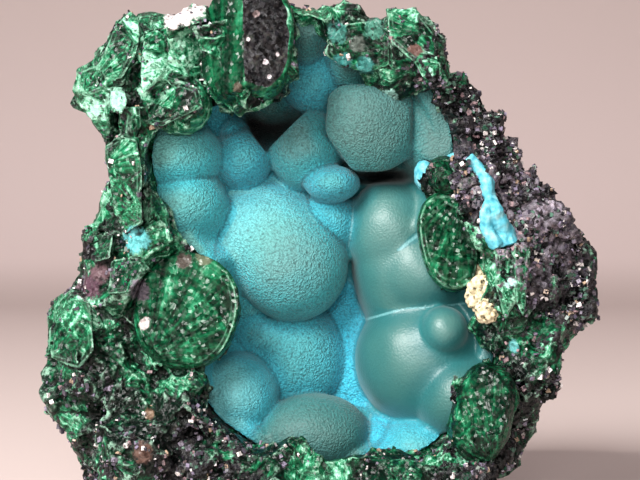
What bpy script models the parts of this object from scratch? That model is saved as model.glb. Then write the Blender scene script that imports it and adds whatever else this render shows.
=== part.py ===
"""Chrysocolla specimen: a fist-sized lump of dark copper-ore matrix, standing on a flat trimmed base.

Its front is open to a hollow. Broken malachite stands round the mouth, and a crust of
chrysocolla lines the inside with overlapping round lobes, like a bunch of grapes.

The lump is one natural solid, host_rock. The crust that grew in its hollow is the second,
chrysocolla_lining. Places and sizes below are in millimetres: X to the right, Y away from
the viewer, Z up from the base. MM turns them into Blender's metres.
"""
import math

import bmesh
import bpy
import numpy as np
from mathutils import Euler, Matrix, Vector, noise

MM = 0.001

# ---- Driving dimensions, in millimetres ------------------------------------------------------

# The lump is modelled with the mouth of the hollow near Y = 0, then moved so that the
# middle of its box stands over the origin.
MIDDLE_OF_BOX = (0.04, 14.11)

# Half of the outline seen from the front, from the base up: (X, Z) on the left, then the right.
LEFT_OUTLINE = (
    (-33.0, 0.0), (-36.0, 7.0), (-39.0, 13.0), (-41.0, 19.0), (-41.0, 27.0), (-39.3, 32.5),
    (-35.8, 38.5), (-32.6, 43.5), (-31.4, 49.5), (-32.4, 56.0), (-34.2, 61.5), (-32.0, 67.5),
    (-27.5, 72.0), (-21.0, 74.6), (-11.0, 75.6),
)
RIGHT_OUTLINE = (
    (25.0, 0.0), (29.5, 6.5), (33.5, 13.0), (35.5, 19.0), (38.0, 25.0), (41.4, 29.5),
    (41.8, 33.5), (39.4, 40.0), (35.8, 46.0), (31.0, 50.6), (28.0, 55.6), (24.0, 61.0),
    (19.0, 66.0), (16.0, 71.6), (4.0, 75.6),
)
BELOW_BASE = 7.0  # how far the lump is carried down before its base is cut flat
OUTLINE_CENTRE = (0.5, 36.0)

# The outline shrinks towards the front and the back: (Y, share of the outline's size).
DEPTH_RINGS = (
    (-2.0, 0.72), (-0.5, 0.90), (4.0, 0.975), (11.0, 1.0), (20.0, 0.98),
    (28.0, 0.92), (34.0, 0.80), (38.0, 0.55),
)
CORNER_WANDER = 1.6  # each ring's corners stray by up to this

# Flat faces where the lump broke from its vein: (outward direction, distance from LUMP_CENTRE).
LUMP_CENTRE = (0.0, 17.0, 37.0)
BREAKS = (
    ((0.10, 1.00, 0.16), 18.5), ((-0.60, 0.74, 0.30), 27.5), ((0.66, 0.70, 0.26), 30.0),
    ((0.12, 0.78, 0.62), 29.5), ((-0.30, 0.84, -0.45), 26.5), ((0.42, 0.80, -0.42), 28.5),
    ((-0.90, 0.40, 0.18), 35.5), ((0.88, 0.36, -0.34), 35.5), ((0.72, 0.34, 0.60), 36.5),
)

VOXEL = 1.5  # the lump is remeshed this fine before it is roughened
SWELL = 1.5  # height of the broad swells of the rock
SWELL_SIZE = 17.0
LEDGE = 1.7  # height by which broken facets stand up or lie back
LEDGE_SIZE = 10.0
LEDGE_BEVEL = 0.22  # width of the steps between facets, as a share of their size
ROCK_TRIANGLES = 2150  # of the lump before its hollow is cut

# The hollow is two overlapping ellipsoids: (centre, half-axes).
HOLLOW = (
    ((-2.5, 0.0, 52.5), (23.5, 24.0, 22.0)),
    ((3.0, 0.0, 27.0), (25.0, 24.0, 21.5)),
)
HOLLOW_SEGMENTS = 22
GAP = 0.35  # clearance that keeps the crust's solid from overlapping the rock's
CRUST = 1.0  # thickness of the lining at the sides of the hollow, between its lobes
CRUST_BACK = 3.6  # the free space sits this much further forward, so the back is thicker
CRUST_FRONT = 4.5  # the lining stops this far behind the plane of the mouth

# The round lobes of the lining: (name, centre, half-axes).
LOBES = (
    ("heart", (-4.5, 13.5, 36.7), (8.5, 9.0, 8.5)),
    ("crown", (-9.4, 23.5, 41.8), (13.6, 13.0, 11.2)),
    ("crown_shoulder", (1.4, 17.5, 43.0), (6.0, 9.0, 5.6)),
    ("left_apron", (-19.0, 22.0, 38.0), (8.0, 9.6, 10.5)),
    ("drop", (-12.6, 15.0, 54.0), (4.7, 6.6, 5.8)),
    ("drop_tip", (-14.2, 16.8, 57.9), (2.6, 4.6, 3.2)),
    ("left_upper", (-22.6, 11.6, 53.4), (7.3, 7.8, 6.0)),
    ("left_lower", (-21.4, 11.8, 46.6), (6.4, 7.4, 5.5)),
    ("left_back", (-20.0, 16.5, 50.0), (6.4, 7.6, 7.4)),
    ("left_roof", (-18.6, 17.5, 60.4), (5.4, 6.2, 4.8)),
    ("roof_shade", (-7.7, 20.5, 63.2), (6.4, 7.4, 5.8)),
    ("roof_front", (-2.0, 11.5, 72.0), (3.4, 7.0, 4.8)),
    ("roof_middle", (-0.6, 14.8, 66.0), (5.8, 7.2, 6.0)),
    ("roof_right", (5.0, 13.5, 68.6), (5.4, 7.4, 6.2)),
    ("brow", (7.8, 11.5, 57.8), (8.2, 9.2, 8.0)),
    ("brow_left", (-2.2, 14.0, 54.8), (6.0, 8.0, 6.6)),
    ("brow_bead", (1.9, 9.6, 49.2), (4.4, 5.4, 2.9)),
    ("brow_right", (18.2, 11.5, 57.4), (6.2, 8.6, 8.4)),
    ("pillar_top", (11.6, 14.5, 42.4), (7.4, 8.6, 7.8)),
    ("pillar_middle", (14.4, 14.5, 34.6), (9.4, 10.0, 8.4)),
    ("pillar_bottom", (16.3, 14.0, 21.8), (10.8, 11.3, 10.8)),
    ("pearl", (19.2, 5.6, 27.1), (3.5, 4.2, 3.6)),
    ("hip", (21.6, 9.6, 16.6), (7.2, 8.4, 6.8)),
    ("valley", (6.6, 22.5, 19.0), (8.4, 8.6, 17.0)),
    ("floor_dome", (-4.4, 20.5, 21.4), (9.9, 10.4, 9.6)),
    ("floor_front", (-1.0, 10.4, 10.4), (8.8, 8.6, 6.3)),
    ("floor_left", (-12.7, 9.4, 16.4), (5.8, 8.6, 6.8)),
    ("floor_right", (15.2, 11.2, 8.4), (6.8, 8.8, 4.6)),
    ("floor_bead", (9.4, 12.4, 9.2), (3.8, 5.6, 3.4)),
)

# Rounded masses of malachite that stand out of the rock: (name, centre, half-axes, squareness
# from 2, round, upwards, turn in degrees about X, Y and Z).
BOSSES = (
    ("overhang", (-10.9, -0.5, 69.0), (6.7, 9.6, 9.4), 3.0, (-10, 4, 6)),
    ("big_fan", (-20.2, 2.2, 29.8), (7.8, 6.6, 8.8), 2.3, (6, 14, -6)),
    ("fan", (-21.2, 3.0, 61.2), (4.8, 4.4, 4.8), 2.2, (10, -14, 0)),
    ("right_boss", (24.4, -0.4, 14.6), (4.6, 6.8, 7.4), 2.6, (0, 14, 0)),
    ("right_bead", (17.6, 5.6, 50.6), (3.0, 4.6, 3.0), 2.2, (0, 0, 0)),
    ("ore_knob", (28.0, 5.6, 53.6), (3.8, 4.6, 3.6), 2.4, (0, 20, 0)),
)
BOSS_SUBDIVISIONS = 2

# Broken splinters and blocks round the mouth: (name, centre, half-axes, turn in degrees, seed).
SHARDS = (
    ("left_slab", (-28.8, 4.6, 66.6), (5.0, 6.6, 8.8), (0, 26, 18), 7),
    ("left_wedge", (-22.4, 4.2, 69.6), (5.6, 6.6, 6.6), (14, -18, 0), 11),
    ("left_tip", (-32.6, 6.6, 62.4), (4.8, 6.0, 4.6), (0, 16, 0), 13),
    ("left_peak", (-25.6, 7.0, 72.0), (5.6, 6.0, 4.2), (0, -20, 0), 15),
    ("left_column", (-29.2, 4.6, 52.6), (4.4, 7.0, 8.6), (0, 4, 0), 17),
    ("left_column_foot", (-30.4, 4.0, 43.6), (4.4, 6.6, 7.0), (0, -14, 0), 18),
    ("left_elbow", (-32.2, 3.2, 36.4), (6.0, 6.6, 6.4), (0, -24, 0), 19),
    ("left_mass", (-32.0, 1.4, 23.6), (9.0, 6.6, 9.0), (0, 0, 20), 29),
    ("left_side", (-37.0, 6.0, 19.6), (6.0, 8.0, 9.0), (0, 6, 0), 30),
    ("left_foot", (-25.6, -1.6, 11.4), (9.0, 6.6, 7.4), (0, 12, 0), 31),
    ("left_toe", (-30.0, 0.6, 4.2), (8.0, 7.0, 6.6), (0, 0, 0), 33),
    ("left_ledge", (-20.8, -1.4, 18.0), (5.4, 5.0, 5.4), (0, 40, 0), 35),
    ("foot_left", (-14.6, -1.4, 4.6), (7.4, 7.2, 7.4), (0, 0, 0), 36),
    ("foot_middle", (-4.4, -2.6, 4.0), (8.2, 6.8, 7.0), (0, 14, 0), 38),
    ("foot_right", (5.4, -1.6, 3.8), (7.4, 7.4, 6.8), (0, -10, 0), 40),
    ("foot_corner", (13.6, -2.8, 3.2), (7.0, 6.4, 6.6), (0, 8, 0), 42),
    ("right_foot", (20.4, -0.8, 4.2), (7.2, 7.2, 6.6), (0, -8, 0), 43),
    ("right_wedge", (20.2, 5.0, 40.0), (5.0, 5.4, 9.2), (0, -10, 0), 53),
    ("right_wall", (27.4, 2.8, 29.6), (4.6, 6.0, 8.4), (0, 10, 0), 54),
    ("right_ore", (31.0, 4.0, 44.0), (6.0, 5.4, 6.6), (0, 30, 0), 55),
    ("right_spur", (37.4, 8.6, 30.8), (6.2, 7.6, 6.4), (0, 10, 0), 73),
    ("right_ledge", (32.0, 3.0, 21.0), (5.4, 5.6, 8.4), (0, 18, 0), 74),
    ("right_block", (25.4, 6.4, 57.4), (4.4, 6.2, 4.6), (0, 40, 0), 75),
    ("brow_chunk", (13.2, 6.0, 68.0), (6.8, 8.0, 8.4), (8, 24, 0), 61),
    ("brow_block", (20.6, 7.6, 62.4), (4.4, 6.6, 5.0), (0, 36, 0), 63),
    ("top_edge", (3.4, 6.6, 74.0), (7.4, 6.6, 3.4), (0, 0, 0), 67),
    ("top_back", (-6.0, 20.0, 73.6), (12.0, 9.0, 4.6), (-6, 0, 20), 69),
)
SHARD_POINTS = 18


# ---- Helpers ---------------------------------------------------------------------------------

def clear_scene():
    for thing in list(bpy.data.objects):
        bpy.data.objects.remove(thing)


def make_material(name, colour, roughness):
    material = bpy.data.materials.new(name)
    material.use_nodes = True
    shader = material.node_tree.nodes["Principled BSDF"]
    shader.inputs["Base Color"].default_value = (*colour, 1.0)
    shader.inputs["Roughness"].default_value = roughness
    shader.inputs["Metallic"].default_value = 0.0
    return material


def new_object(name, mesh):
    thing = bpy.data.objects.new(name, mesh)
    bpy.context.scene.collection.objects.link(thing)
    return thing


def object_from_bmesh(name, bm):
    mesh = bpy.data.meshes.new(name)
    bm.to_mesh(mesh)
    bm.free()
    return new_object(name, mesh)


def apply_modifiers(thing):
    """Replaces the object's mesh with what its modifiers make of it."""
    graph = bpy.context.evaluated_depsgraph_get()
    mesh = bpy.data.meshes.new_from_object(thing.evaluated_get(graph))
    thing.modifiers.clear()
    thing.data = mesh


def boolean(thing, other, operation):
    """Cuts, joins or trims thing with other, which is used up."""
    modifier = thing.modifiers.new(operation.title(), "BOOLEAN")
    modifier.operation = operation
    modifier.object = other
    apply_modifiers(thing)
    bpy.data.objects.remove(other)


def keep_largest_piece(thing):
    """Drops the loose crumbs that a cut can leave, and keeps the main body."""
    bm = bmesh.new()
    bm.from_mesh(thing.data)
    unseen = set(bm.verts)
    pieces = []
    while unseen:
        todo = [unseen.pop()]
        piece = set(todo)
        while todo:
            for edge in todo.pop().link_edges:
                for vertex in edge.verts:
                    if vertex in unseen:
                        unseen.discard(vertex)
                        piece.add(vertex)
                        todo.append(vertex)
        pieces.append(piece)
    pieces.sort(key=len, reverse=True)
    bmesh.ops.delete(bm, geom=[v for piece in pieces[1:] for v in piece], context="VERTS")
    bm.to_mesh(thing.data)
    bm.free()


# ---- Noise that shapes broken rock -----------------------------------------------------------

def cell_random(cells, seed):
    """Three numbers from 0 to 1 for each cell of a grid, always the same for the same cell."""
    mixed = cells[..., 0] * 73856093 ^ cells[..., 1] * 19349663 ^ cells[..., 2] * 83492791
    mixed = (mixed ^ seed * 2654435761) & 0x7FFFFFFF
    numbers = []
    for _ in range(3):
        mixed = (mixed * 1103515245 + 12345) & 0x7FFFFFFF
        numbers.append((mixed >> 8 & 0xFFFF) / 65536.0)
    return np.stack(numbers, axis=-1)


def ledges(points, size, seed, bevel):
    """Height from -1 to 1 of tilted flat facets, one for each random cell about size across."""
    scaled = points / size
    home = np.floor(scaled).astype(np.int64)
    nearest = np.full(len(points), np.inf)
    second = np.full(len(points), np.inf)
    height = np.zeros(len(points))
    next_height = np.zeros(len(points))
    for step in np.ndindex(3, 3, 3):
        cell = home + np.array(step) - 1
        away = scaled - (cell + cell_random(cell, seed))
        distance = np.linalg.norm(away, axis=1)
        tilt = cell_random(cell, seed + 1) - 0.5
        facet = cell_random(cell, seed + 2)[:, 0] * 2.0 - 1.0 + 2.0 * (away * tilt).sum(axis=1)
        closest = distance < nearest
        closer = ~closest & (distance < second)
        next_height = np.where(closest, height, np.where(closer, facet, next_height))
        second = np.where(closest, nearest, np.where(closer, distance, second))
        height = np.where(closest, facet, height)
        nearest = np.where(closest, distance, nearest)
    share = 0.5 - 0.5 * np.clip((second - nearest) / bevel, 0.0, 1.0)
    return np.clip(height * (1.0 - share) + next_height * share, -1.0, 1.0)


def break_faces(points):
    """Brings every point that stands beyond a fracture plane down onto it."""
    for direction, distance in BREAKS:
        outward = np.array(direction) / np.linalg.norm(direction)
        beyond = np.maximum((points - np.array(LUMP_CENTRE)) @ outward - distance, 0.0)
        points = points - beyond[:, None] * outward
    return points


def roughen(thing):
    """Breaks the lump's back flat, then moves each vertex along its normal by swells and ledges."""
    mesh = thing.data
    count = len(mesh.vertices)
    points = np.empty(count * 3)
    normals = np.empty(count * 3)
    mesh.vertices.foreach_get("co", points)
    mesh.vertices.foreach_get("normal", normals)
    points = break_faces(points.reshape(-1, 3) / MM)
    swells = np.array([noise.noise(Vector(p) / SWELL_SIZE) for p in points])
    move = SWELL * swells + LEDGE * ledges(points, LEDGE_SIZE, 4, LEDGE_BEVEL)
    points += normals.reshape(-1, 3) * move[:, None]
    mesh.vertices.foreach_set("co", (points * MM).ravel())
    mesh.update()


# ---- Shapes ----------------------------------------------------------------------------------

def grown(half_axes, by):
    return tuple(half + by for half in half_axes)


def placement(centre, half_axes, turn=(0.0, 0.0, 0.0)):
    """Takes a unit shape to its size, turn and place, in metres."""
    turned = Euler([math.radians(angle) for angle in turn]).to_matrix().to_4x4()
    sized = Matrix.Diagonal((*(Vector(half_axes) * MM), 1.0))
    return Matrix.Translation(Vector(centre) * MM) @ turned @ sized


def ellipsoid_object(name, centre, half_axes, segments):
    """An ellipsoid whose poles point up and down."""
    bm = bmesh.new()
    bmesh.ops.create_uvsphere(
        bm, u_segments=segments, v_segments=segments * 3 // 5, radius=1.0,
        matrix=placement(centre, half_axes),
    )
    return object_from_bmesh(name, bm)


def lobe_object(name, centre, half_axes):
    """A lobe, with more segments the larger it is."""
    segments = 2 * round(4.4 + 0.5 * max(half_axes))
    return ellipsoid_object(name, centre, half_axes, segments)


def boss_object(name, centre, half_axes, squareness, turn, by=0.0):
    """A rounded block, grown by a little when the crust is cut round it."""
    bm = bmesh.new()
    bmesh.ops.create_icosphere(bm, subdivisions=BOSS_SUBDIVISIONS, radius=1.0)
    for vertex in bm.verts:
        reach = sum(abs(part) ** squareness for part in vertex.co) ** (1.0 / squareness)
        vertex.co /= reach
    bmesh.ops.transform(bm, matrix=placement(centre, grown(half_axes, by), turn), verts=bm.verts)
    return object_from_bmesh(name, bm)


def shard_object(name, centre, half_axes, turn, seed, by=0.0):
    """A broken block: the hull of random points on an ellipsoid, grown by a little as above."""
    random = np.random.default_rng(seed)
    points = random.normal(size=(SHARD_POINTS, 3))
    points /= np.linalg.norm(points, axis=1)[:, None]
    bm = bmesh.new()
    for point in points:
        bm.verts.new(point)
    hull = bmesh.ops.convex_hull(bm, input=bm.verts)
    bmesh.ops.delete(bm, geom=hull["geom_interior"], context="VERTS")
    bmesh.ops.recalc_face_normals(bm, faces=bm.faces)
    bmesh.ops.transform(bm, matrix=placement(centre, grown(half_axes, by), turn), verts=bm.verts)
    return object_from_bmesh(name, bm)


def lump_outline():
    """The closed front outline, anticlockwise as the viewer sees it, carried below the base."""
    left = [(LEFT_OUTLINE[0][0], -BELOW_BASE), *LEFT_OUTLINE]
    right = [(RIGHT_OUTLINE[0][0], -BELOW_BASE), *RIGHT_OUTLINE]
    return right + left[::-1]


def lump_object():
    """The whole lump with no hollow: rings of the outline, skinned from the front to the back."""
    random = np.random.default_rng(8)
    bm = bmesh.new()
    rings = []
    for depth, share in DEPTH_RINGS:
        ring = []
        for x, z in lump_outline():
            stray = random.uniform(-CORNER_WANDER, CORNER_WANDER, 3)
            ring_x = OUTLINE_CENTRE[0] + (x - OUTLINE_CENTRE[0]) * share + stray[0] * (1.0 - share)
            ring_z = OUTLINE_CENTRE[1] + (z - OUTLINE_CENTRE[1]) * share + stray[2] * (1.0 - share)
            ring.append(bm.verts.new(Vector((ring_x, depth + stray[1] * 0.5, ring_z)) * MM))
        rings.append(ring)
    for front, back in zip(rings, rings[1:]):
        for i, corner in enumerate(front):
            after = (i + 1) % len(front)
            bm.faces.new((corner, back[i], back[after], front[after]))
    bm.faces.new(rings[0])
    bm.faces.new(rings[-1][::-1])
    bmesh.ops.recalc_face_normals(bm, faces=bm.faces)
    lump = object_from_bmesh("host_rock", bm)
    remesh = lump.modifiers.new("Remesh", "REMESH")
    remesh.mode = "VOXEL"
    remesh.voxel_size = VOXEL * MM
    apply_modifiers(lump)
    return lump


def thinned(thing, triangles):
    bm = bmesh.new()
    bm.from_mesh(thing.data)
    bmesh.ops.triangulate(bm, faces=bm.faces)
    bm.to_mesh(thing.data)
    bm.free()
    decimate = thing.modifiers.new("Decimate", "DECIMATE")
    decimate.ratio = triangles / len(thing.data.polygons)
    apply_modifiers(thing)


def cut_flat_below(thing, height):
    """Cuts off what is below the height and closes the cut with one flat face."""
    bm = bmesh.new()
    bm.from_mesh(thing.data)
    cut = bmesh.ops.bisect_plane(
        bm, geom=[*bm.verts, *bm.edges, *bm.faces], plane_co=(0, 0, height * MM),
        plane_no=(0, 0, 1), clear_inner=True,
    )
    edges = [e for e in cut["geom_cut"] if isinstance(e, bmesh.types.BMEdge)]
    bmesh.ops.contextual_create(bm, geom=edges)
    bm.to_mesh(thing.data)
    bm.free()


# ---- The two pieces --------------------------------------------------------------------------

def hollow_object(name, by, forward=0.0):
    """Both ellipsoids of the hollow in one, made larger all round and moved forward by a little."""
    shift = Vector((0.0, -forward, 0.0))
    (upper, upper_axes), (lower, lower_axes) = HOLLOW
    hollow = ellipsoid_object(name, shift + Vector(upper), grown(upper_axes, by), HOLLOW_SEGMENTS)
    other = ellipsoid_object("lower", shift + Vector(lower), grown(lower_axes, by), HOLLOW_SEGMENTS)
    boolean(hollow, other, "UNION")
    return hollow


def build_rock():
    rock = lump_object()
    roughen(rock)
    thinned(rock, ROCK_TRIANGLES)
    boolean(rock, hollow_object("hollow", 0.0), "DIFFERENCE")
    for boss in BOSSES:
        boolean(rock, boss_object(*boss), "UNION")
    for shard in SHARDS:
        boolean(rock, shard_object(*shard), "UNION")
    cut_flat_below(rock, 0.0)
    keep_largest_piece(rock)
    return rock


def front_block():
    """Everything in front of the lining's front edge."""
    half_axes = (60.0, 30.0, 60.0)
    centre = (0.0, CRUST_FRONT - half_axes[1], HOLLOW[0][0][2])
    bm = bmesh.new()
    bmesh.ops.create_cube(bm, size=2.0, matrix=placement(centre, half_axes))
    return object_from_bmesh("front", bm)


def build_lining():
    """The hollow's shape, less the free space that the lobes leave, less the masses in front."""
    lining = hollow_object("chrysocolla_lining", -GAP)
    space = hollow_object("space", -GAP - CRUST, CRUST_BACK)
    boolean(space, front_block(), "UNION")
    for lobe in LOBES:
        boolean(space, lobe_object(*lobe), "DIFFERENCE")
    boolean(lining, space, "DIFFERENCE")
    for boss in BOSSES:
        boolean(lining, boss_object(*boss, by=GAP), "DIFFERENCE")
    for shard in SHARDS:
        boolean(lining, shard_object(*shard, by=1.5 * GAP), "DIFFERENCE")
    keep_largest_piece(lining)
    return lining


def finish(thing, material, sharp_degrees):
    """Gives the piece its one material, its shading and its place over the origin."""
    thing.data.materials.clear()
    thing.data.materials.append(material)
    thing.data.shade_smooth()
    thing.data.set_sharp_from_angle(angle=math.radians(sharp_degrees))
    thing.data.transform(Matrix.Translation(Vector((-MIDDLE_OF_BOX[0], -MIDDLE_OF_BOX[1], 0.0)) * MM))


clear_scene()
finish(build_rock(), make_material("Malachite and ore", (0.05, 0.13, 0.08), 0.55), 32.0)
finish(build_lining(), make_material("Chrysocolla", (0.12, 0.46, 0.49), 0.6), 48.0)
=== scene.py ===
# %% [markdown]
# # A chrysocolla specimen, cell by cell
# The object is a lump of dark copper ore about as big as a fist. A hollow, which collectors call
# a vug, opens at its front. Malachite grew round the mouth in silky green masses, and a crust of
# blue-green chrysocolla lines the inside with round lobes that overlap like grapes.
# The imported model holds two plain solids: host_rock, and the crust, chrysocolla_lining. The cells
# below dress them. First the frame is loaded, and the box of the plain solids is kept, because
# the finished model has to stay inside it.

import bmesh
import bpy
import numpy as np
from mathutils import Euler, Matrix, Vector, noise
from mathutils.bvhtree import BVHTree


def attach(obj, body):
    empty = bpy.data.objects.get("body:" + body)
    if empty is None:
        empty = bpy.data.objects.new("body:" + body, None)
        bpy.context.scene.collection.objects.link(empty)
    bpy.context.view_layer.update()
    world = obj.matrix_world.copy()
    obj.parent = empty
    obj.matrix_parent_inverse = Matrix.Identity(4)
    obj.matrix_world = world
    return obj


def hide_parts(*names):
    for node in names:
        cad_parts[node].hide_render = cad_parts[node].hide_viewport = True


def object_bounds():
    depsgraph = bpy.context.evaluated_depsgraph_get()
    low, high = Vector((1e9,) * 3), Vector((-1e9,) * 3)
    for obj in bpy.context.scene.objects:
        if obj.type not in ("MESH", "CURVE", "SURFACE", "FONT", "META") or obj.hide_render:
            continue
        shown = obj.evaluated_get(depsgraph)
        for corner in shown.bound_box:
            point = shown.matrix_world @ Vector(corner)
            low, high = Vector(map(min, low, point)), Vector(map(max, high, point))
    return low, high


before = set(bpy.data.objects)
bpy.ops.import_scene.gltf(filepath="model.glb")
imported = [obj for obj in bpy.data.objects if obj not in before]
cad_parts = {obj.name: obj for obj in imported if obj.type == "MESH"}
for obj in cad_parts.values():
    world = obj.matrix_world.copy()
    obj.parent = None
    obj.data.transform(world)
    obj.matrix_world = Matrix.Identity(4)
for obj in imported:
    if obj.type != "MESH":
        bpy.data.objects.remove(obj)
cad_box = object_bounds()
print("nodes:", sorted(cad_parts))

# %% [markdown]
# ## Units and places
# Small natural forms are easiest to think about in millimetres, with the mouth of the hollow near
# Y = 0, X to the right and Z up from the base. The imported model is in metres, and the middle of
# its box stands over the origin. One function takes the first kind of place to the second.

# %% Units and places
MM = 0.001
MIDDLE_OF_BOX = np.array((0.04, 14.11, 0.0))


def to_frame(points):
    """Places in millimetres, measured from the mouth of the hollow, as metres in the frame."""
    return (np.asarray(points, dtype=float) - MIDDLE_OF_BOX) * MM


def from_frame(points):
    return np.asarray(points, dtype=float) / MM + MIDDLE_OF_BOX


print("the mouth's middle is at", to_frame((0.0, 0.0, 40.5)).round(4))

# %% [markdown]
# ## The camera
# The specimen is seen straight on, from the distance at which a hand holds it out. A lens is
# easiest to choose from what it has to take in: at this distance the frame is 96 mm wide, so the
# focal length is the sensor's width times distance over width.

# %% The camera
CAMERA_DISTANCE = 300.0
CAMERA_HEIGHT = 40.5
VIEW_WIDTH = 96.0
SENSOR_WIDTH = 36.0

lens = bpy.data.cameras.new("camera")
lens.sensor_width = SENSOR_WIDTH
lens.lens = SENSOR_WIDTH * CAMERA_DISTANCE / VIEW_WIDTH
lens.clip_start = 0.01
camera = bpy.data.objects.new("camera", lens)
camera.location = to_frame((0.0, -CAMERA_DISTANCE, CAMERA_HEIGHT))
camera.rotation_euler = (np.radians(90.0), 0.0, 0.0)
bpy.context.scene.collection.objects.link(camera)
bpy.context.scene.camera = camera
print("focal length", round(lens.lens, 1), "mm")

# %% [markdown]
# ## Reading and writing meshes as arrays
# Rock has hundreds of thousands of points, and a Python loop over them is slow. foreach_get and
# foreach_set move a whole mesh in or out of a numpy array in one call. The other helpers are the
# few steps that each piece repeats: joining shapes, voxel remeshing them into one skin, and
# replacing a mesh with what its modifiers make of it.

# %% Helpers for meshes
THIN_FACTOR = 6.0  # how strongly the places to keep are kept when a mesh is thinned
THIN_LEVELS = 8


def new_piece(name, mesh):
    piece = bpy.data.objects.new(name, mesh)
    bpy.context.scene.collection.objects.link(piece)
    return piece


def piece_from_bmesh(name, bm):
    mesh = bpy.data.meshes.new(name)
    bm.to_mesh(mesh)
    bm.free()
    return new_piece(name, mesh)


def get_points(piece):
    """The piece's points, in millimetres."""
    points = np.empty(len(piece.data.vertices) * 3)
    piece.data.vertices.foreach_get("co", points)
    return from_frame(points.reshape(-1, 3))


def set_points(piece, points):
    """Moves the piece's points to these places, in millimetres."""
    piece.data.vertices.foreach_set("co", to_frame(points).ravel())
    piece.data.update()


def get_normals(piece):
    normals = np.empty(len(piece.data.vertices) * 3)
    piece.data.vertices.foreach_get("normal", normals)
    return normals.reshape(-1, 3)


def set_attribute(piece, name, values):
    """Stores a number, or a vector, on each vertex for the materials to read."""
    if name in piece.data.attributes:
        piece.data.attributes.remove(piece.data.attributes[name])
    values = np.asarray(values, dtype=np.float32)
    kind, field = ("FLOAT", "value") if values.ndim == 1 else ("FLOAT_VECTOR", "vector")
    attribute = piece.data.attributes.new(name, kind, "POINT")
    attribute.data.foreach_set(field, values.ravel())


def apply_modifiers(piece):
    graph = bpy.context.evaluated_depsgraph_get()
    mesh = bpy.data.meshes.new_from_object(piece.evaluated_get(graph))
    piece.modifiers.clear()
    piece.data = mesh


def remesh(piece, voxel):
    """One closed skin over everything in the mesh, with points about voxel millimetres apart."""
    modifier = piece.modifiers.new("Remesh", "REMESH")
    modifier.mode = "VOXEL"
    modifier.voxel_size = voxel * MM
    apply_modifiers(piece)


def thin_out(piece, triangles, keep):
    """Collapses small faces until about so many triangles are left, fewest where keep is 0."""
    bm = bmesh.new()
    bm.from_mesh(piece.data)
    bmesh.ops.triangulate(bm, faces=bm.faces)
    bm.to_mesh(piece.data)
    bm.free()
    group = piece.vertex_groups.new(name="thin")
    levels = np.clip(((1.0 - keep) * THIN_LEVELS).astype(int), 0, THIN_LEVELS - 1)
    for level in range(THIN_LEVELS):
        inside = np.nonzero(levels == level)[0]
        group.add(inside.tolist(), (level + 0.5) / THIN_LEVELS, "REPLACE")
    modifier = piece.modifiers.new("Decimate", "DECIMATE")
    modifier.ratio = min(1.0, triangles / len(piece.data.polygons))
    modifier.vertex_group = "thin"
    modifier.vertex_group_factor = THIN_FACTOR
    apply_modifiers(piece)
    piece.vertex_groups.clear()


def boolean(piece, other, operation):
    modifier = piece.modifiers.new(operation.title(), "BOOLEAN")
    modifier.operation = operation
    modifier.object = other
    apply_modifiers(piece)
    bpy.data.objects.remove(other)


def placement(centre, half_axes, turn=(0.0, 0.0, 0.0)):
    """Takes a unit shape to its size, its turn in degrees and its place."""
    turned = Euler(np.radians(turn)).to_matrix().to_4x4()
    sized = Matrix.Diagonal((*(np.array(half_axes) * MM), 1.0))
    return Matrix.Translation(to_frame(centre)) @ turned @ sized


def shade_smooth(piece):
    piece.data.polygons.foreach_set("use_smooth", np.ones(len(piece.data.polygons), dtype=bool))
    piece.data.update()


def unit(direction):
    return np.array(direction) / np.linalg.norm(direction)


def report(piece):
    """Prints the piece's size, which every cell that makes one ends with."""
    triangles = sum(len(face.vertices) - 2 for face in piece.data.polygons)
    print(piece.name, "has", triangles, "triangles")


# %% [markdown]
# ## The crust's lobes
# Chrysocolla grows as a skin that thickens outwards from many points, so its surface is made of
# round lobes that meet in sharp creases. Each lobe is an ellipsoid here, placed one by one. Metaballs
# would melt the creases, and a sculpted surface would be hard to edit, so the ellipsoids are
# joined and voxel remeshed: that keeps every crease and gives one closed skin.
# A lobe also has a skin, which says its colours, and a share of wax, from frosted to smooth.

# %% The crust's lobes
HOLLOW = (  # centre and half-axes of the two ellipsoids that make it
    ((-2.5, 0.0, 52.5), (23.5, 24.0, 22.0)),
    ((3.0, 0.0, 27.0), (25.0, 24.0, 21.5)),
)
HOLLOW_CENTRES, HOLLOW_AXES = (np.array(part) for part in zip(*HOLLOW))
GAP = 0.35  # between the crust and the wall of the hollow
CRUST = 1.0  # thickness of the shell at the sides, in mm
CRUST_BACK = 3.6  # how much thicker it is at the back
CRUST_FRONT = 4.5  # the shell's front edge lies this far behind the mouth

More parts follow.
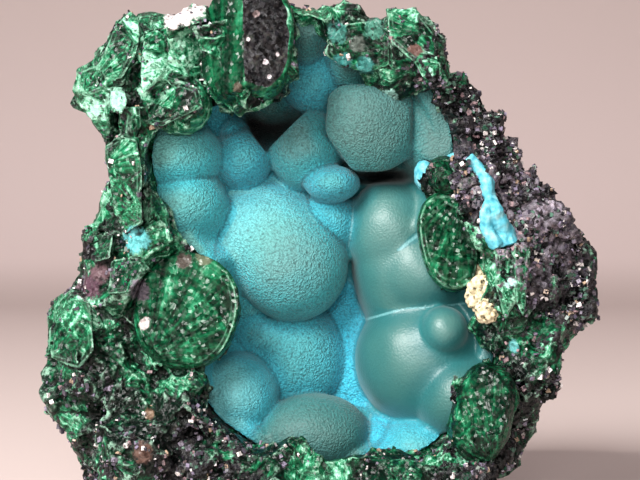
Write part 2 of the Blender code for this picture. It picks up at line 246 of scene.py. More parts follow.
LOBES = (  # name, centre, half-axes, skin, how waxy
    ("heart", (-4.4, 13.0, 36.6), (8.9, 9.2, 8.8), "frost", 0.0),
    ("heart_shoulder", (-6.0, 14.8, 38.2), (9.2, 9.8, 9.0), "mist", 0.0),
    ("heart_back", (-8.4, 17.4, 40.6), (10.4, 10.8, 9.4), "pale", 0.0),
    ("crown", (-9.4, 23.0, 41.8), (13.6, 13.0, 11.2), "turquoise", 0.0),
    ("crown_shoulder", (1.4, 17.5, 43.0), (6.0, 9.0, 5.6), "sea", 0.0),
    ("left_apron", (-19.0, 22.0, 38.0), (8.0, 9.6, 10.5), "turquoise", 0.0),
    ("drop", (-12.2, 14.2, 53.2), (4.7, 6.6, 4.9), "sea", 0.0),
    ("drop_tip", (-13.4, 15.4, 56.4), (2.7, 4.9, 3.5), "sea", 0.0),
    ("left_upper", (-22.6, 11.0, 53.4), (7.6, 8.6, 6.2), "mist", 0.1),
    ("left_lower", (-21.4, 11.0, 45.8), (7.2, 8.4, 6.6), "mist", 0.1),
    ("left_back", (-20.0, 16.5, 50.0), (6.4, 7.6, 7.4), "sea", 0.0),
    ("left_roof", (-18.6, 17.5, 60.4), (5.4, 6.2, 4.8), "sea", 0.0),
    ("roof_shade", (-7.7, 20.5, 63.2), (6.4, 7.4, 5.8), "sage", 0.0),
    ("roof_front", (-2.0, 11.5, 72.0), (3.4, 7.0, 4.8), "sage", 0.0),
    ("roof_middle", (-0.6, 14.8, 66.0), (5.8, 7.2, 6.0), "sea", 0.0),
    ("roof_right", (5.0, 13.5, 68.6), (5.4, 7.4, 6.2), "sage", 0.1),
    ("brow", (7.8, 11.5, 57.8), (9.6, 9.6, 9.4), "sage", 0.1),
    ("brow_left", (-2.2, 14.0, 54.8), (6.0, 8.0, 6.6), "frost", 0.0),
    ("brow_bead", (1.9, 9.6, 49.2), (4.4, 5.4, 2.9), "sea", 0.0),
    ("brow_right", (18.2, 11.5, 57.4), (6.2, 8.6, 8.4), "sage", 0.3),
    ("pillar_top", (11.2, 14.5, 41.6), (7.2, 8.8, 8.6), "wax", 0.9),
    ("pillar_middle", (15.6, 14.3, 35.6), (8.6, 10.0, 8.2), "jade", 1.0),
    ("pillar_side", (12.5, 15.0, 36.2), (7.4, 9.0, 11.2), "jade", 1.0),
    ("pillar_bottom", (16.3, 14.0, 21.8), (10.8, 11.3, 10.8), "jade", 1.0),
    ("pearl", (19.0, 5.2, 26.8), (3.7, 4.6, 3.8), "wax", 1.0),
    ("hip", (21.6, 8.4, 16.4), (7.2, 8.6, 7.0), "jade", 0.9),
    ("valley", (6.6, 22.5, 19.0), (8.4, 8.6, 17.0), "deep", 0.0),
    ("floor_dome", (-4.4, 20.5, 21.4), (9.9, 10.4, 9.6), "sea", 0.0),
    ("floor_front", (-1.0, 10.4, 10.4), (8.8, 8.6, 6.3), "sage", 0.3),
    ("floor_left", (-12.9, 12.0, 16.2), (6.6, 8.2, 7.0), "pale", 0.3),
    ("floor_right", (15.2, 11.2, 8.4), (6.8, 8.8, 4.6), "sea", 0.3),
    ("floor_bead", (9.4, 12.4, 9.2), (3.8, 5.6, 3.4), "deep", 0.1),
)
SKINS = {  # skin: deeper colour in the creases and on the sides, partly painted shade, and paler colour where it faces the light, partly a painted highlight and partly a later skin
    "turquoise": ((80, 204, 226), (134, 224, 230)),
    "deep": ((50, 180, 210), (62, 178, 204)),
    "sea": ((48, 162, 182), (72, 162, 170)),
    "frost": ((50, 158, 166), (88, 144, 144)),
    "mist": ((58, 178, 190), (94, 166, 162)),
    "pale": ((60, 178, 198), (100, 182, 188)),
    "sage": ((38, 112, 112), (64, 108, 105)),
    "wax": ((28, 102, 104), (64, 110, 106)),
    "jade": ((26, 94, 96), (52, 102, 98)),
}
LOBE_NAMES = [name for name, *_ in LOBES]
LOBE_FLATS = {  # lobes pressed flat by their neighbours: outward direction, distance in mm
    "brow": (
        ((0.0, 0.0, 1.0), 6.4), ((1.0, 0.0, 0.0), 6.2), ((0.0, 0.0, -1.0), 6.8),
        ((-0.95, 0.0, 0.1), 7.0), ((-0.8, 0.0, -0.6), 6.3), ((-0.7, 0.0, 0.7), 8.0),
        ((0.6, 0.0, 0.8), 7.4), ((0.5, 0.0, -0.86), 7.2),
    ),
    "brow_right": (((-0.2, -0.95, 0.1), 6.6),),
    "brow_left": (((-0.68, 0.0, 0.73), 4.0),),
    "drop": (((0.8, 0.0, 0.6), 3.6),),
}
MELTED = (  # pairs of lobes with no crease between them
    ("pillar_middle", "pillar_side"), ("pillar_top", "pillar_side"), ("heart", "heart_shoulder"),
    ("heart", "heart_back"), ("heart_shoulder", "heart_back"), ("heart_back", "crown"),
    ("heart_shoulder", "crown"),
)
SEAMS = (  # pairs of lobes with a painted highlight, a pale line, where they meet
    ("pillar_middle", "pillar_bottom"), ("pillar_side", "pillar_bottom"),
    ("pillar_top", "pillar_middle"), ("crown_shoulder", "pillar_top"),
    ("crown_shoulder", "pillar_side"), ("valley", "pillar_side"), ("valley", "floor_right"),
    ("floor_front", "floor_bead"),
)
POCKETS = (  # deep gaps between the lobes, also painted nearly black as painted shadow: place, how wide in X and Z, how much deeper
    ((-9.6, 17.0, 58.8), (6.2, 4.2), 10.0),
    ((-15.6, 14.5, 49.5), (0.9, 2.4), 6.0),
    ((10.4, 12.5, 50.4), (4.6, 1.1), 8.0),
    ((-17.5, 16.0, 62.0), (3.0, 1.8), 4.0),
)
print(len(LOBES), "lobes")

# %% [markdown]
# ## The crust
# Behind and between the lobes the crust is a thin shell: the hollow's shape, less the free space,
# which is the same shape moved forward. A lobe that reaches into the rock is pulled back to the
# shell's outer side, so nothing pokes out at the back of the specimen.

# %% The crust
LINING_VOXEL = 0.3
LINING_TRIANGLES = 190000
SEGMENTS = 48  # round each ellipsoid
SMOOTH_PASSES = 2
MELT_PASSES = 40
UNEVEN = 0.22  # height in mm by which the lobes depart from true ellipsoids
UNEVEN_SIZE = 5.0
LOBE_BLEND = 1.6  # over this many mm a value runs from one lobe into the next
FIRM = {"pearl": 0.4, "hip": 0.6, "pillar_bottom": 0.8}  # waxy lobes that keep more of their shape
SOFT_PLACES = (  # where frosted lobes run into each other: place, how far round it
    ((-11.0, 7.0, 41.5), 11.0), ((-4.0, 6.0, 45.0), 9.0),
)


def add_ellipsoid(bm, centre, half_axes, segments):
    return bmesh.ops.create_uvsphere(
        bm, u_segments=segments, v_segments=segments // 2, radius=1.0,
        matrix=placement(centre, half_axes),
    )["verts"]


def hollow_shape(name, by, forward=0.0):
    """Both ellipsoids of the hollow in one, made larger all round and moved forward by a little."""
    halves = []
    for centre, half_axes in HOLLOW:
        bm = bmesh.new()
        moved = (centre[0], centre[1] - forward, centre[2])
        add_ellipsoid(bm, moved, np.array(half_axes) + by, SEGMENTS)
        halves.append(piece_from_bmesh(name, bm))
    boolean(halves[0], halves[1], "UNION")
    return halves[0]


def front_block():
    """Everything in front of the shell's front edge."""
    half_axes = (60.0, 30.0, 60.0)
    centre = (0.0, CRUST_FRONT - half_axes[1], 50.0)
    bm = bmesh.new()
    bmesh.ops.create_cube(bm, size=2.0, matrix=placement(centre, half_axes))
    return piece_from_bmesh("front", bm)


def reach_of(points, centres, half_axes):
    """How far out each point lies in each ellipsoid, whose surface is at 1."""
    return np.linalg.norm((points[:, None, :] - centres) / half_axes, axis=2)


def pull_inside_hollow(points):
    """Brings points that lie outside the hollow back to its wall."""
    reach = reach_of(points, HOLLOW_CENTRES, HOLLOW_AXES - GAP)
    centres = HOLLOW_CENTRES[reach.argmin(axis=1)]
    return centres + (points - centres) / np.maximum(reach.min(axis=1), 1.0)[:, None]


def beyond_flats(points, name, centre):
    """For each flat of a lobe, how far each point stands beyond it, and its outward direction."""
    for direction, distance in LOBE_FLATS.get(name, ()):
        outward = unit(direction)
        yield (points - np.array(centre)) @ outward - distance, outward


def lobe_distances(points):
    """Distance in millimetres, about, from each point to each lobe's surface."""
    centres = np.array([centre for _, centre, *_ in LOBES])
    half_axes = np.array([axes for _, _, axes, *_ in LOBES])
    distances = (reach_of(points, centres, half_axes) - 1.0) * half_axes.min(axis=1)
    for name in LOBE_FLATS:
        k = LOBE_NAMES.index(name)
        for beyond, _ in beyond_flats(points, name, centres[k]):
            distances[:, k] = np.maximum(distances[:, k], beyond)
    return distances


def spread(points, x, z, wide, high):
    """Square of how far each point lies from a place in the front view, in its width and height."""
    return ((points[:, 0] - x) / wide) ** 2 + ((points[:, 2] - z) / high) ** 2


def deepen(points):
    """Pushes the points of each pocket further back, most in its middle."""
    points = points.copy()
    for place, size, depth in POCKETS:
        apart = spread(points, place[0], place[2], *size)
        behind = np.clip((points[:, 1] - place[1] + 3.0) / 4.0, 0.0, 1.0)
        points[:, 1] += depth * np.exp(-(apart**2)) * behind
    return points


def wave(points, size, seed):
    """Smooth noise from -1 to 1 whose bumps are about size millimetres across."""
    shifted = points / size + seed * 17.3
    return np.array([noise.noise(point) for point in shifted.tolist()])


def neighbours_average(piece, values, passes):
    """Smooths a value, or a vector, over the mesh by averaging each vertex with those beside it."""
    edges = np.empty(len(piece.data.edges) * 2, dtype=np.int64)
    piece.data.edges.foreach_get("vertices", edges)
    ends = edges.reshape(-1, 2)
    count = len(piece.data.vertices)
    degree = np.maximum(np.bincount(edges, minlength=count), 1)
    columns = values.reshape(count, -1)
    for _ in range(passes):
        total = np.stack([
            np.bincount(ends[:, 0], column[ends[:, 1]], count)
            + np.bincount(ends[:, 1], column[ends[:, 0]], count)
            for column in columns.T
        ], axis=1)
        columns = 0.5 * columns + 0.5 * total / degree[:, None]
    return columns.reshape(values.shape)


def blend_lobes(points, values, blend=LOBE_BLEND):
    """The average of a value that each lobe has, for each point, from the lobes nearest to it."""
    distances = lobe_distances(points)
    weights = np.exp(-(distances - distances.min(axis=1)[:, None]) / blend)
    return (weights @ np.array(values)) / weights.sum(axis=1)[:, None]


def relax(piece, passes):
    bm = bmesh.new()
    bm.from_mesh(piece.data)
    for _ in range(passes):
        bmesh.ops.smooth_vert(
            bm, verts=bm.verts, factor=0.5, use_axis_x=True, use_axis_y=True, use_axis_z=True
        )
    bm.to_mesh(piece.data)
    bm.free()


lining = hollow_shape("chrysocolla_crust", -GAP)
free_space = hollow_shape("space", -GAP - CRUST, CRUST_BACK)
boolean(free_space, front_block(), "UNION")
boolean(lining, free_space, "DIFFERENCE")

bm = bmesh.new()
bm.from_mesh(lining.data)
for name, centre, half_axes, *_ in LOBES:
    vertices = add_ellipsoid(bm, centre, half_axes, SEGMENTS)
    for vertex in vertices if name in LOBE_FLATS else ():
        for _ in range(2):
            for beyond, outward in beyond_flats(from_frame(vertex.co), name, centre):
                vertex.co -= Vector(outward * max(beyond, 0.0) * MM)
bm.to_mesh(lining.data)
bm.free()

remesh(lining, LINING_VOXEL)
relax(lining, SMOOTH_PASSES)
points = get_points(lining)
waxy = blend_lobes(points, [[FIRM.get(lobe[0], lobe[4])] for lobe in LOBES])
melting = np.clip(waxy * 1.3 - 0.3, 0.0, 1.0)
for place, reach in SOFT_PLACES:
    apart = np.linalg.norm(points - np.array(place), axis=1) / reach
    melting = np.maximum(melting, np.clip(2.0 - 2.0 * apart, 0.0, 1.0)[:, None])
melted = neighbours_average(lining, points, MELT_PASSES)
points += (melted - points) * melting
set_points(lining, points)
points += get_normals(lining) * (UNEVEN * wave(points, UNEVEN_SIZE, 1))[:, None]
set_points(lining, deepen(pull_inside_hollow(points)))
report(lining)

# %% [markdown]
# ## What the crust's finish needs to know
# The crust's colour follows its growth and the light: turquoise in the depth, and grey-green on
# the lobes that face the light and the air, partly a later skin and partly a painted highlight.
# Painted shade darkens the creases and the deep pockets, and a painted highlight, a thin pale line,
# runs where some lobes meet. The finish can't see where the lobes are, so each vertex carries what
# it needs: its lobe's two shades, its wax, its distance to the nearest crease, which is half of how
# much further the second nearest lobe is than the nearest, and how deep it lies in a pocket. Most
# of the triangles are kept for the front, which is all that shows.

# %% What the crust's finish needs to know
SHARP_BLEND = 0.5
NO_CREASE = 3.0  # a distance in mm at which the finish sees no crease
LIT_FRONT_WAY = np.array((0.15, 0.97, -0.2))  # the way from the lit front, inwards: a lobe facing against it takes its paler front shade, partly a painted highlight and partly a later skin
KEPT_DEPTH = 14.0  # the crust keeps its triangles down to here, and none are kept at the next
THINNED_OVER = 12.0


def colour(red, green, blue):
    """A colour as it looks on a screen, from 0 to 255, turned into the linear values that nodes take."""
    parts = np.array((red, green, blue)) / 255.0
    linear = np.where(parts <= 0.04045, parts / 12.92, ((parts + 0.055) / 1.055) ** 2.4)
    return (*linear.tolist(), 1.0)


def paint_lining(piece):
    points = get_points(piece)
    distances = lobe_distances(points)
    order = np.argsort(distances, axis=1)[:, :2]
    nearest = np.take_along_axis(distances, order, axis=1)

    def between_lobes(pairs):
        """True for the points whose two nearest lobes are one of the pairs."""
        numbered = [[LOBE_NAMES.index(name) for name in pair] for pair in pairs]
        return np.any([np.isin(order, pair).all(axis=1) for pair in numbered], axis=0)

    crease = (nearest[:, 1] - nearest[:, 0]) / 2.0
    crease[between_lobes(MELTED)] = NO_CREASE
    set_attribute(piece, "crease", crease)
    set_attribute(piece, "seam", np.where(between_lobes(SEAMS), crease, NO_CREASE))
    for k, name in enumerate(("side_shade", "front_shade")):
        shades = [colour(*SKINS[lobe[3]][k])[:3] for lobe in LOBES]
        set_attribute(piece, name, blend_lobes(points, shades, SHARP_BLEND))
    set_attribute(piece, "wax", blend_lobes(points, [[lobe[4]] for lobe in LOBES], SHARP_BLEND)[:, 0])
    # painted shadow: the deep pockets are painted nearly black, most in their middle
    gap = sum(
        np.exp(-(spread(points, place[0], place[2], *size) ** 2))
        * np.clip((points[:, 1] - place[1]) / 3.0, 0.0, 1.0)
        for place, size, _ in POCKETS
    )
    set_attribute(piece, "gap", np.clip(gap, 0.0, 1.0))
    # painted highlight: how squarely each vertex faces the lit front, which picks its paler front shade
    facing = -get_normals(piece) @ LIT_FRONT_WAY
    set_attribute(piece, "front", np.clip((facing - 0.5) / 0.48, 0.0, 1.0))


depth = get_points(lining)[:, 1]
thin_out(lining, LINING_TRIANGLES, np.clip(1.0 - (depth - KEPT_DEPTH) / THINNED_OVER, 0.0, 1.0))
paint_lining(lining)
shade_smooth(lining)
report(lining)

# %% [markdown]
# ## Broken stone
# Malachite and ore break into small faces. A Voronoi pattern gives them: space is parted into
# random cells, and each cell flattens its own patch of the surface at a tilt and a level of its
# own. The same kind of cells give each sheaf of silky fibres its tone, and a point inside the stone
# from which it spreads. A smaller kind gives rounded grains.

# %% Noise for broken stone
MOST_MOVE = 2.2  # no point moves further than this, in mm, to reach its face
EDGE_WIDTH = 0.22  # of the bevel between two faces


def random_of(places, seed):
    """Three numbers from 0 to 1 for each place, always the same for the same place."""
    turns = np.array(((12.99, 78.23, 37.72), (39.35, 11.14, 83.16), (73.16, 52.24, 9.15)))
    mixed = np.sin(places @ turns + seed * 3.7) * 4375.85
    return mixed - np.floor(mixed)


def cells_of(points, size, seed):
    """For each point, the two nearest cells of about that size: distances and middles, in mm."""
    shift = seed * 11.3
    found = [noise.voronoi(point) for point in (points / size + shift).tolist()]
    distances = np.array([(near[0], near[1]) for near, _ in found]) * size
    middles = np.array([(where[0][:], where[1][:]) for _, where in found])
    return distances, (middles - shift) * size, middles


def fibre_sheaves(points, size, seed):
    """For each point, the way from its sheaf's source to it in mm, and the sheaf's tone."""
    _, middles, keys = cells_of(points, size, seed)
    chance = random_of(keys[:, 0], seed + 9)
    turn = chance[:, 0] * 2.0 * np.pi
    along = np.stack([np.cos(turn), chance[:, 1] - 0.5, np.sin(turn)], axis=1)
    source = middles[:, 0] - along * size * (0.7 + chance[:, 2])[:, None]
    return points - source, random_of(keys[:, 0], seed + 13)[:, 1]


def pebbles(points, size, seed):
    """Height from 0 to 1 of rounded grains of about that size."""
    distances, _, _ = cells_of(points, size, seed)
    return 1.0 - np.clip(distances[:, 0] / size * 1.25, 0.0, 1.0) ** 2


def cell_means(cell, values, count):
    return np.stack([np.bincount(cell, column, count) for column in values.T], axis=1)


def break_flat(points, normals, share, size, seed, tilt, level, stretch=(1.0, 1.0, 1.0)):
    """Moves each point by its share, from 0 to 1, of the way to the flat face of its cell.

    A cell is about size mm across, and its face stands up or lies back by up to level mm.
    """
    distances, _, keys = cells_of(points / np.array(stretch), size, seed)
    found, cell = np.unique(np.round(keys.reshape(-1, 3), 3), axis=0, return_inverse=True)
    cell = cell.reshape(-1, 2)
    own = np.bincount(cell[:, 0], minlength=len(found))
    middles = cell_means(cell[:, 0], points, len(found)) / np.maximum(own, 1)[:, None]
    faces = cell_means(cell[:, 0], normals, len(found))
    faces /= np.maximum(np.linalg.norm(faces, axis=1), 1e-6)[:, None]
    faces += tilt * (random_of(found, seed) - 0.5)
    faces /= np.linalg.norm(faces, axis=1)[:, None]
    heights = level * (2.0 * random_of(found, seed + 5)[:, 0] - 1.0)
    moves = []
    for k in (0, 1):
        out = faces[cell[:, k]]
        beyond = ((points - middles[cell[:, k]]) * out).sum(axis=1) - heights[cell[:, k]]
        moves.append(-out * np.clip(beyond, -MOST_MOVE, MOST_MOVE)[:, None])
    border = (distances[:, 1] - distances[:, 0]) / 2.0
    other = 0.5 - 0.5 * np.clip(border / EDGE_WIDTH, 0.0, 1.0)
    other[own[cell[:, 1]] == 0] = 0.0
    return points + (moves[0] * (1.0 - other)[:, None] + moves[1] * other[:, None]) * share[:, None]


fibres = fibre_sheaves(np.random.default_rng(0).uniform(-30, 30, (500, 3)), 4.2, 1)[0]
print("fibres are about", np.linalg.norm(fibres, axis=1).mean().round(1), "mm long")

# %% [markdown]
# ## Where the stone is green
# Malachite has grown on the left, the top and the foot of the mouth, and the ore shows bare on
# the right. Painting that by hand on the mesh would be lost at the next change of shape, so a
# table of places seen from the front gives the share of malachite, and each point takes the
# average of the places near it. Behind the front, slow noise spreads patches of malachite.

# %% Where the stone is green
GREEN_PLACES = (  # X, Z, share of malachite
    (-27.0, 67.5, 1.0), (-34.5, 63.0, 0.95), (-21.0, 73.0, 0.95), (-30.0, 50.0, 0.8), (-30.0, 43.0, 0.75),
    (-34.0, 38.0, 0.75), (-25.5, 39.0, 0.85), (-36.0, 31.5, 0.8), (-39.5, 25.5, 0.95), (-30.0, 27.0, 1.0),
    (-20.0, 29.0, 1.0), (-34.0, 16.5, 0.7), (-24.0, 17.0, 0.85), (-29.0, 9.0, 0.55), (-18.0, 8.0, 0.35),
    (-11.0, 7.0, 0.4), (-4.0, 7.0, 0.85), (3.0, 7.0, 0.9), (12.0, 6.5, 0.85), (19.5, 9.0, 0.5),
    (24.0, 6.0, 0.3), (30.0, 16.5, 0.5), (32.5, 24.0, 0.6), (27.0, 28.0, 0.8), (36.0, 31.0, 0.35),
    (40.5, 34.5, 0.2), (33.0, 46.5, 0.08), (26.0, 46.0, 0.1), (27.0, 54.0, 0.12), (22.5, 61.5, 0.15),
    (18.5, 67.5, 0.6), (12.0, 70.5, 0.95), (3.0, 75.0, 0.8), (-10.0, 70.0, 0.9), (20.2, 40.0, 1.0),
)
PLACE_REACH = 4.5
FRONT_DEPTH = 9.0  # what is seen from the front lies before this


def green_share(points):
    places = np.array(GREEN_PLACES)
    apart = np.linalg.norm(points[:, None, [0, 2]] - places[:, :2], axis=2) / PLACE_REACH
    weights = 1.0 / (0.2 + apart**4)
    seen = (weights @ places[:, 2]) / weights.sum(axis=1)
    unseen = 0.42 + 0.9 * wave(points, 16.0, 5)
    front = 1.0 / (1.0 + np.exp((points[:, 1] - FRONT_DEPTH) / 2.0))
    share = seen * front + unseen * (1.0 - front)
    return np.clip(share + 0.35 * wave(points, 5.0, 6) + 0.2 * wave(points, 2.0, 7), 0.0, 1.0)


# %% [markdown]
# ## The masses that stand out
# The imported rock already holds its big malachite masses. Six of them show so much detail of their
# own that each becomes a separate piece here, and the rock is drawn in a little where one stands,
# so that the two surfaces don't fight. A superquadric is a sphere whose sides can be squared: one
# power sets how square, so it suits these rounded blocks better than a sphere or a bevelled cube.

# %% The masses that stand out
MASSES = {  # centre, half-axes, squareness from 2, round, upwards, turn in degrees
    "overhang": ((-10.9, -0.5, 69.6), (6.7, 9.6, 8.9), 2.8, (-10, 4, 6)),
    "big_fan": ((-20.0, 0.0, 29.8), (7.9, 6.6, 8.8), 2.2, (6, 14, -6)),
    "fan": ((-21.2, 3.0, 61.2), (4.8, 4.4, 4.8), 2.2, (10, -14, 0)),
    "right_boss": ((24.4, -0.4, 14.6), (4.6, 6.8, 7.4), 2.6, (0, 14, 0)),
    "right_bead": ((18.9, 4.4, 50.2), (3.0, 4.8, 3.0), 2.2, (0, 0, 0)),
    "right_wedge": ((19.4, 3.6, 40.2), (4.3, 5.4, 7.6), 2.3, (0, -12, 0)),
}
BREAKS = {  # mass: outward direction of each broken face, its distance from the middle in mm
    "overhang": (((-0.72, -0.69, 0.05), 5.2), ((0.40, -0.91, 0.12), 6.4)),
    "big_fan": (((0.10, -0.98, 0.16), 2.2),),
    "right_boss": (((-0.35, -0.92, 0.15), 4.6),),
    "right_wedge": (((0.12, -0.98, 0.12), 2.0),),
}
DRAWN_IN = 0.9  # the rock's surface lies this far, in mm, under a mass's


def in_mass(points, name):
    """The points in the mass's own axes, where its surface is at a reach of 1, and the reach."""
    centre, half_axes, squareness, turn = MASSES[name]
    turned = np.array(Euler(np.radians(turn)).to_matrix())
    local = (points - np.array(centre)) @ turned / np.array(half_axes)
    reach = (np.abs(local) ** squareness).sum(axis=1) ** (1.0 / squareness)
    return local, reach


def cut_at_breaks(points, name, share, deeper=0.0):
    """Brings points beyond a mass's broken faces back to them, by a share from 0 to 1."""
    for direction, distance in BREAKS.get(name, ()):
        outward = unit(direction)
        beyond = np.maximum((points - np.array(MASSES[name][0])) @ outward - distance + deeper, 0.0)
        points = points - (beyond * share)[:, None] * outward
    return points


print(len(MASSES), "masses, of which", len(BREAKS), "are broken")

# %% [markdown]
# ## Slabs and splinters
# Round the mouth the malachite broke into flat slabs, each with its own outline and its own tilt.
# A slab is a polygon drawn in the front view and carried back into the rock, with its front face
# tilted, so one catches the light where the next lies in shade.

# %% Slabs and splinters
SLABS = {  # depth, how much deeper per mm to the right and per mm upwards, outline as X and Z
    "tall": (-3.4, (-0.25, 0.30), (
        (-28.4, 74.9), (-30.8, 72.5), (-32.8, 67.5), (-33.6, 66.6), (-32.0, 64.2), (-29.7, 64.8), (-27.6, 68.4),
        (-27.0, 71.0), (-27.2, 74.0),
    )),
    "tip": (-2.0, (-0.7, -0.1), ((-36.0, 65.7), (-33.6, 66.6), (-32.2, 63.6), (-35.1, 62.4), (-36.2, 63.8))),
    "tip_under": (-0.6, (-0.6, -0.5), (
        (-35.4, 62.0), (-32.2, 63.4), (-31.3, 60.0), (-31.2, 57.7), (-32.2, 55.5), (-33.9, 57.7), (-35.7, 59.9),
    )),
    "boss": (-4.6, (0.1, 0.5), ((-31.6, 63.6), (-29.4, 63.4), (-28.7, 61.2), (-29.9, 59.3), (-31.5, 60.3))),
    "middle": (-3.0, (0.35, 0.30), (
        (-26.4, 71.2), (-24.7, 72.1), (-22.9, 70.9), (-22.5, 67.9), (-24.4, 64.2), (-26.7, 62.2), (-27.0, 65.2),
    )),
    "shaded": (-1.6, (0.6, -0.3), (
        (-22.8, 70.6), (-20.4, 71.4), (-17.4, 72.4), (-17.4, 65.4), (-19.0, 64.6), (-21.4, 67.0), (-22.4, 68.6),
    )),
    # the patches paint this slab's face white, a painted highlight where it catches the light
    "lit_facet": (-5.0, (0.1, 0.9), (
        (-23.2, 72.4), (-22.0, 74.4), (-19.8, 75.6), (-17.3, 76.4), (-17.3, 73.2), (-22.2, 71.9),
    )),
    "shoulder": (-3.6, (0.1, -0.2), ((-28.8, 60.4), (-27.0, 60.6), (-26.8, 57.6), (-27.9, 55.4), (-29.2, 56.4))),
    "fan_plate": (-2.6, (-0.3, 0.35), (
        (-26.1, 57.9), (-25.5, 60.8), (-24.0, 62.7), (-21.2, 64.3), (-18.2, 63.4), (-17.5, 60.4), (-20.8, 58.9),
        (-23.6, 57.5),
    )),
    "fan_upper": (-2.0, (0.4, 0.2), (
        (-23.3, 67.2), (-21.0, 66.8), (-18.0, 63.5), (-21.0, 64.2), (-22.2, 63.9), (-24.0, 64.8),
    )),
    "column": (-4.0, (-0.35, 0.05), (
        (-32.6, 54.6), (-30.4, 56.0), (-27.4, 55.6), (-26.7, 51.0), (-26.7, 43.0), (-29.2, 41.6), (-31.3, 44.4),
        (-32.4, 50.0),
    )),
    "inner": (-1.4, (0.7, 0.0), (
        (-26.1, 48.8), (-24.2, 47.6), (-22.4, 44.6), (-22.4, 39.2), (-24.0, 38.6), (-25.9, 40.6),
    )),
    "elbow": (-3.2, (-0.4, 0.2), (
        (-35.4, 42.6), (-33.0, 43.2), (-31.0, 41.4), (-31.6, 37.8), (-33.6, 37.2), (-35.6, 38.6),
    )),
    "mint": (-5.0, (-0.2, 0.5), ((-31.4, 37.6), (-27.0, 38.0), (-25.4, 36.2), (-28.6, 32.6), (-31.9, 32.4))),
    "side": (-3.2, (-0.5, 0.1), (
        (-40.4, 29.8), (-37.4, 33.4), (-34.4, 31.0), (-33.9, 24.0), (-36.2, 21.4), (-40.8, 22.6),
    )),
    "band_left": (-4.6, (-0.1, 0.1), (
        (26.2, 39.4), (28.7, 39.2), (28.6, 35.2), (29.3, 30.8), (27.8, 28.4), (26.3, 33.6),
    )),
    "band_right": (-4.6, (0.3, 0.1), (
        (29.1, 40.0), (30.8, 40.4), (31.8, 39.2), (31.4, 34.4), (30.6, 28.8), (29.5, 30.8),
    )),
    "chunk": (-2.4, (0.1, 0.3), (
        (9.8, 75.6), (14.6, 75.4), (18.0, 71.2), (18.2, 66.4), (17.6, 63.4), (15.4, 64.6), (14.4, 66.8), (10.6, 70.2),
    )),
    "nodule": (-0.6, (-0.2, -0.4), (
        (1.0, 70.6), (3.4, 72.8), (8.4, 73.6), (10.4, 70.6), (10.4, 66.8), (7.0, 65.4), (2.6, 66.6), (0.8, 68.4),
    )),
}
SLAB_BACK = 9.0
SLAB_NARROWS = 0.8  # share of a slab's outline that is left at its back
ON_FACE = 0.8  # a point this near to a slab's plane, in mm, lies on the slab
VIEW_MIDDLE = np.array((0.0, CAMERA_HEIGHT))


def seen_at(places, depth):
    """Carries places drawn in the front view to their depth along the line of sight."""
    return VIEW_MIDDLE + (places - VIEW_MIDDLE) * (1.0 + depth / CAMERA_DISTANCE)[..., None]


def drawn_at(points):
    """Where points would be drawn in the front view, as X and Z at the mouth."""
    scale = (1.0 + points[:, 1] / CAMERA_DISTANCE)[:, None]
    return VIEW_MIDDLE + (points[:, [0, 2]] - VIEW_MIDDLE) / scale


def add_slab(bm, depth, slope, outline):
    outline = np.array(outline)
    middle = outline.mean(axis=0)
    depths = depth + (outline - middle) @ np.array(slope)
    front_places = seen_at(outline, depths)
    narrowed = middle + (outline - middle) * SLAB_NARROWS
    back_places = seen_at(narrowed, np.full(len(outline), SLAB_BACK))
    front = [bm.verts.new(to_frame((x, y, z))) for (x, z), y in zip(front_places, depths)]
    back = [bm.verts.new(to_frame((x, SLAB_BACK, z))) for x, z in back_places]
    faces = [bm.faces.new(front), bm.faces.new(back[::-1])]
    for k in range(len(outline)):
        after = (k + 1) % len(outline)
        faces.append(bm.faces.new((front[k], back[k], back[after], front[after])))
    bmesh.ops.recalc_face_normals(bm, faces=faces)


def slab_rim(points):
    """Distance in mm from each point on a slab's face to the slab's edge, and 0 off the slabs."""
    flat = drawn_at(points)
    rim = np.zeros(len(points))
    for depth, slope, outline in SLABS.values():
        outline = np.array(outline)
        faced = depth + (flat - outline.mean(axis=0)) @ np.array(slope)
        on_face = np.abs(points[:, 1] - faced) < ON_FACE
        apart = np.full(len(points), np.inf)
        winding = np.zeros(len(points), dtype=bool)
        for start, end in zip(outline, np.roll(outline, -1, axis=0)):
            edge = end - start
            along = np.clip(((flat - start) @ edge) / (edge @ edge), 0.0, 1.0)
            apart = np.minimum(apart, np.linalg.norm(flat - start - along[:, None] * edge, axis=1))
            crosses = (start[1] > flat[:, 1]) != (end[1] > flat[:, 1])
            reach = start[0] + (flat[:, 1] - start[1]) * edge[0] / (edge[1] if edge[1] else 1e-9)
            winding ^= crosses & (flat[:, 0] < reach)
        rim = np.where(on_face & winding, np.maximum(rim, apart + 0.05), rim)
    return rim


print(len(SLABS), "slabs")

# %% [markdown]
# ## The rock
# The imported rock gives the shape. Its mesh is loose triangles, so a copy is merged, then voxel
# remeshed to get even points all over, and these are moved along their normals: by broken faces
# where it is malachite, and by grains where it is ore. The flat base stays flat, and the wall of
# the hollow doesn't rise, because the crust lies on it.

# %% The rock
ROCK_VOXEL = 0.3
ROCK_TRIANGLES = 192000
NUDGES = (  # X, Z, reach, how far the surface moves outwards, in mm, to follow the true outline
    (23.0, 60.5, 4.0, -1.4), (28.5, 55.5, 4.5, -2.0), (33.0, 49.5, 4.0, -0.8), (20.0, 69.5, 3.0, -1.5),
    (-35.0, 64.0, 3.0, 0.3), (-34.5, 59.5, 2.6, 0.3), (-35.5, 43.0, 3.5, -1.6), (-31.5, 49.0, 3.5, -0.6),
    (-41.5, 27.0, 3.5, -0.9), (41.5, 31.5, 3.5, 0.8), (37.0, 19.5, 4.0, -2.2), (33.0, 9.0, 3.5, -1.2),
)
HOLLOW_RADIUS = 22.0  # about, in mm
BOX_MARGIN = 0.02


